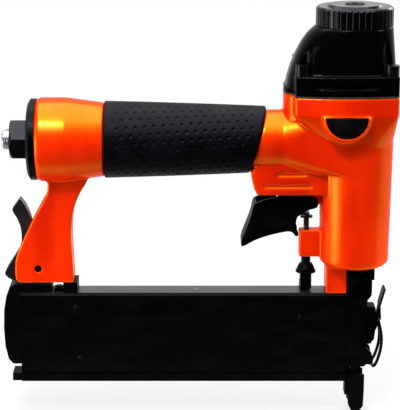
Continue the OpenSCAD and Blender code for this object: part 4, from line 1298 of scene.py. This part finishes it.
@dataclass
class Studio:
    """The pale table, the room, the lamps and the camera.

    Attributes:
        target: Point that the camera looks at.
        distance: Distance from there to the camera.
        rise: Height of the camera above the horizon, in degrees.
        focus: Focal length, in pixels.
        frame_w: Width of the picture, in pixels.
        sensor: Width of the camera's sensor, in millimetres.
        sight: Distance at which the camera's view ends.
        table_x: Left and right end of the table.
        table_y: Front and back end of the table.
        table_z: Height of the table.
        table_paint: Colour of the table in the lamps' light.
        table_tone: Colour that the camera sees near the tool.
        table_glow: Share of that colour; the rest is the paint with the tool's shadow.
        shade_at: Middle of the shaded part of the table.
        shade_reach: Distances at which the table starts to fade to white and is white.
        room_light: Strength of the dim light of the room.
        room_back: Y of the directions in which the room starts to turn white and is white.
        lamps: The lamps.
    """

    target: Point = (-0.0975, 0.0, 0.1381)
    distance: float = 1.1
    rise: float = 14.0
    focus: float = 1721.0
    frame_w: float = 400.0
    sensor: float = 36.0
    sight: float = 20.0
    table_x: tuple[float, float] = (-1.7, 1.5)
    table_y: tuple[float, float] = (-0.09, 2.6)
    table_z: float = -0.0004
    table_paint: Colour = (0.9, 0.9, 0.9)
    table_tone: Colour = (0.84, 0.84, 0.84)
    table_glow: float = 0.86
    shade_at: Point = (-0.1, 0.0, 0.0)
    shade_reach: tuple[float, float] = (0.16, 0.55)
    room_light: float = 0.05
    room_back: tuple[float, float] = (0.0, 0.8)
    lamps: tuple[SoftBox, ...] = (
        SoftBox("top_box", (-0.1, 0.1, 1.3), size=1.5, watts=43.0),
        SoftBox("spark_box", (-0.32, -0.6, 1.0), size=0.09, watts=7.5),
        SoftBox("front_box", (-0.55, -1.3, 1.6), size=0.7, watts=16.0),
        SoftBox("side_box", (1.1, -0.2, 0.6), size=0.4, watts=7.0),
        SoftBox("left_box", (-1.3, -0.55, 0.7), size=0.5, watts=2.5),
        SoftBox("rim_box", (0.75, 0.9, 0.6), size=0.4, watts=5.0),
        SoftBox("low_box", (-1.0, -0.3, 0.02), size=0.5, watts=6.0),
    )

    def build(self) -> None:
        """Sets up the table, the room, the lamps and the camera."""
        bpy.context.scene.view_settings.view_transform = "Standard"
        self.table()
        self.room()
        for lamp in self.lamps:
            lamp.hang(self.target)
        self.camera()

    def camera(self) -> None:
        """Sets up the camera at the photograph's viewing angle."""
        scene = bpy.context.scene
        lens = bpy.data.cameras.new("camera")
        lens.sensor_fit = "HORIZONTAL"
        lens.sensor_width = self.sensor
        lens.lens = self.focus / self.frame_w * self.sensor
        lens.clip_end = self.sight
        camera = bpy.data.objects.new("camera", lens)
        scene.collection.objects.link(camera)
        tilt = math.radians(self.rise)
        back = Vector((0.0, -math.cos(tilt), math.sin(tilt)))
        camera.location = Vector(self.target) + back * self.distance
        camera.rotation_euler = (-back).to_track_quat("-Z", "Y").to_euler()
        scene.camera = camera

    def seen(self, graph: Graph, where: Wire | None = None) -> Wire:
        """Tells what shows the pale ground from what only lights the tool.

        Args:
            graph: Nodes of the table or the room.
            where: 1 where gloss and glass show the ground, 0 in the dark part of the room; they
                show it everywhere if there is none.

        Returns:
            1 for what the camera sees, where for gloss and glass, 0 for light on the tool.
        """
        path = graph.node("ShaderNodeLightPath")
        names = ("Is Camera Ray", "Is Glossy Ray", "Is Transmission Ray")
        camera, glossy, through = (Wire(graph, path.outputs[name]) for name in names)
        mirrored = glossy.larger(through)
        return camera.larger(mirrored if where is None else mirrored * where)

    def table(self) -> None:
        """A pale table that keeps the tool's shadow and ends in front of it."""
        (left, right), (front, back) = self.table_x, self.table_y
        outline = ((left, front), (right, front), (right, back), (left, back))
        mesh = bpy.data.meshes.new("table")
        mesh.from_pydata([(x, y, self.table_z) for x, y in outline], [], [(0, 1, 2, 3)])
        table = bpy.data.objects.new("table", mesh)
        bpy.context.scene.collection.objects.link(table)
        paint = bpy.data.materials.new("pale_table")
        paint.use_nodes = True
        graph = Graph(paint.node_tree)
        here = graph.node("ShaderNodeTexCoord").outputs["Object"]
        ends = {0: here, 1: self.shade_at}
        away = graph.node("ShaderNodeVectorMath", {"operation": "DISTANCE"}, ends)
        fade = Wire(graph, away.outputs["Value"]).between(*self.shade_reach)
        tone = graph.blend(fade, self.table_tone, WHITE)
        share = self.seen(graph) * (self.table_glow + fade * (1.0 - self.table_glow))
        both = graph.mixed(
            share,
            graph.node("ShaderNodeBsdfDiffuse", None, {"Color": self.table_paint}),
            graph.node("ShaderNodeEmission", None, {"Color": tone, "Strength": 1.0}),
        )
        graph.node("ShaderNodeOutputMaterial", None, {"Surface": both.outputs[0]})
        mesh.materials.append(paint)

    def room(self) -> None:
        """A pale background behind the tool and a dim room round the camera."""
        world = bpy.data.worlds.new("studio")
        bpy.context.scene.world = world
        world.use_nodes = True
        graph = Graph(world.node_tree)
        here = graph.node("ShaderNodeTexCoord").outputs["Generated"]
        parts = graph.node("ShaderNodeSeparateXYZ", None, {"Vector": here})
        behind = Wire(graph, parts.outputs["Y"]).between(*self.room_back)
        both = graph.mixed(
            self.seen(graph, behind),
            graph.node("ShaderNodeBackground", None, {"Color": WHITE, "Strength": self.room_light}),
            graph.node("ShaderNodeBackground", None, {"Color": WHITE, "Strength": 1.0}),
        )
        graph.node("ShaderNodeOutputWorld", None, {"Surface": both.outputs[0]})


def main() -> None:
    """Builds the scene, one sub-assembly after the other."""
    logging.basicConfig(level=logging.INFO, format="%(name)s: %(message)s")
    kinds = (
        Studio, CastBody, HeadCap, Drive, Grip, AirInlet, TriggerGroup, WorkContact, Nose, Magazine
    )
    for kind in kinds:
        kind().build()


if __name__ == "__main__":
    main()
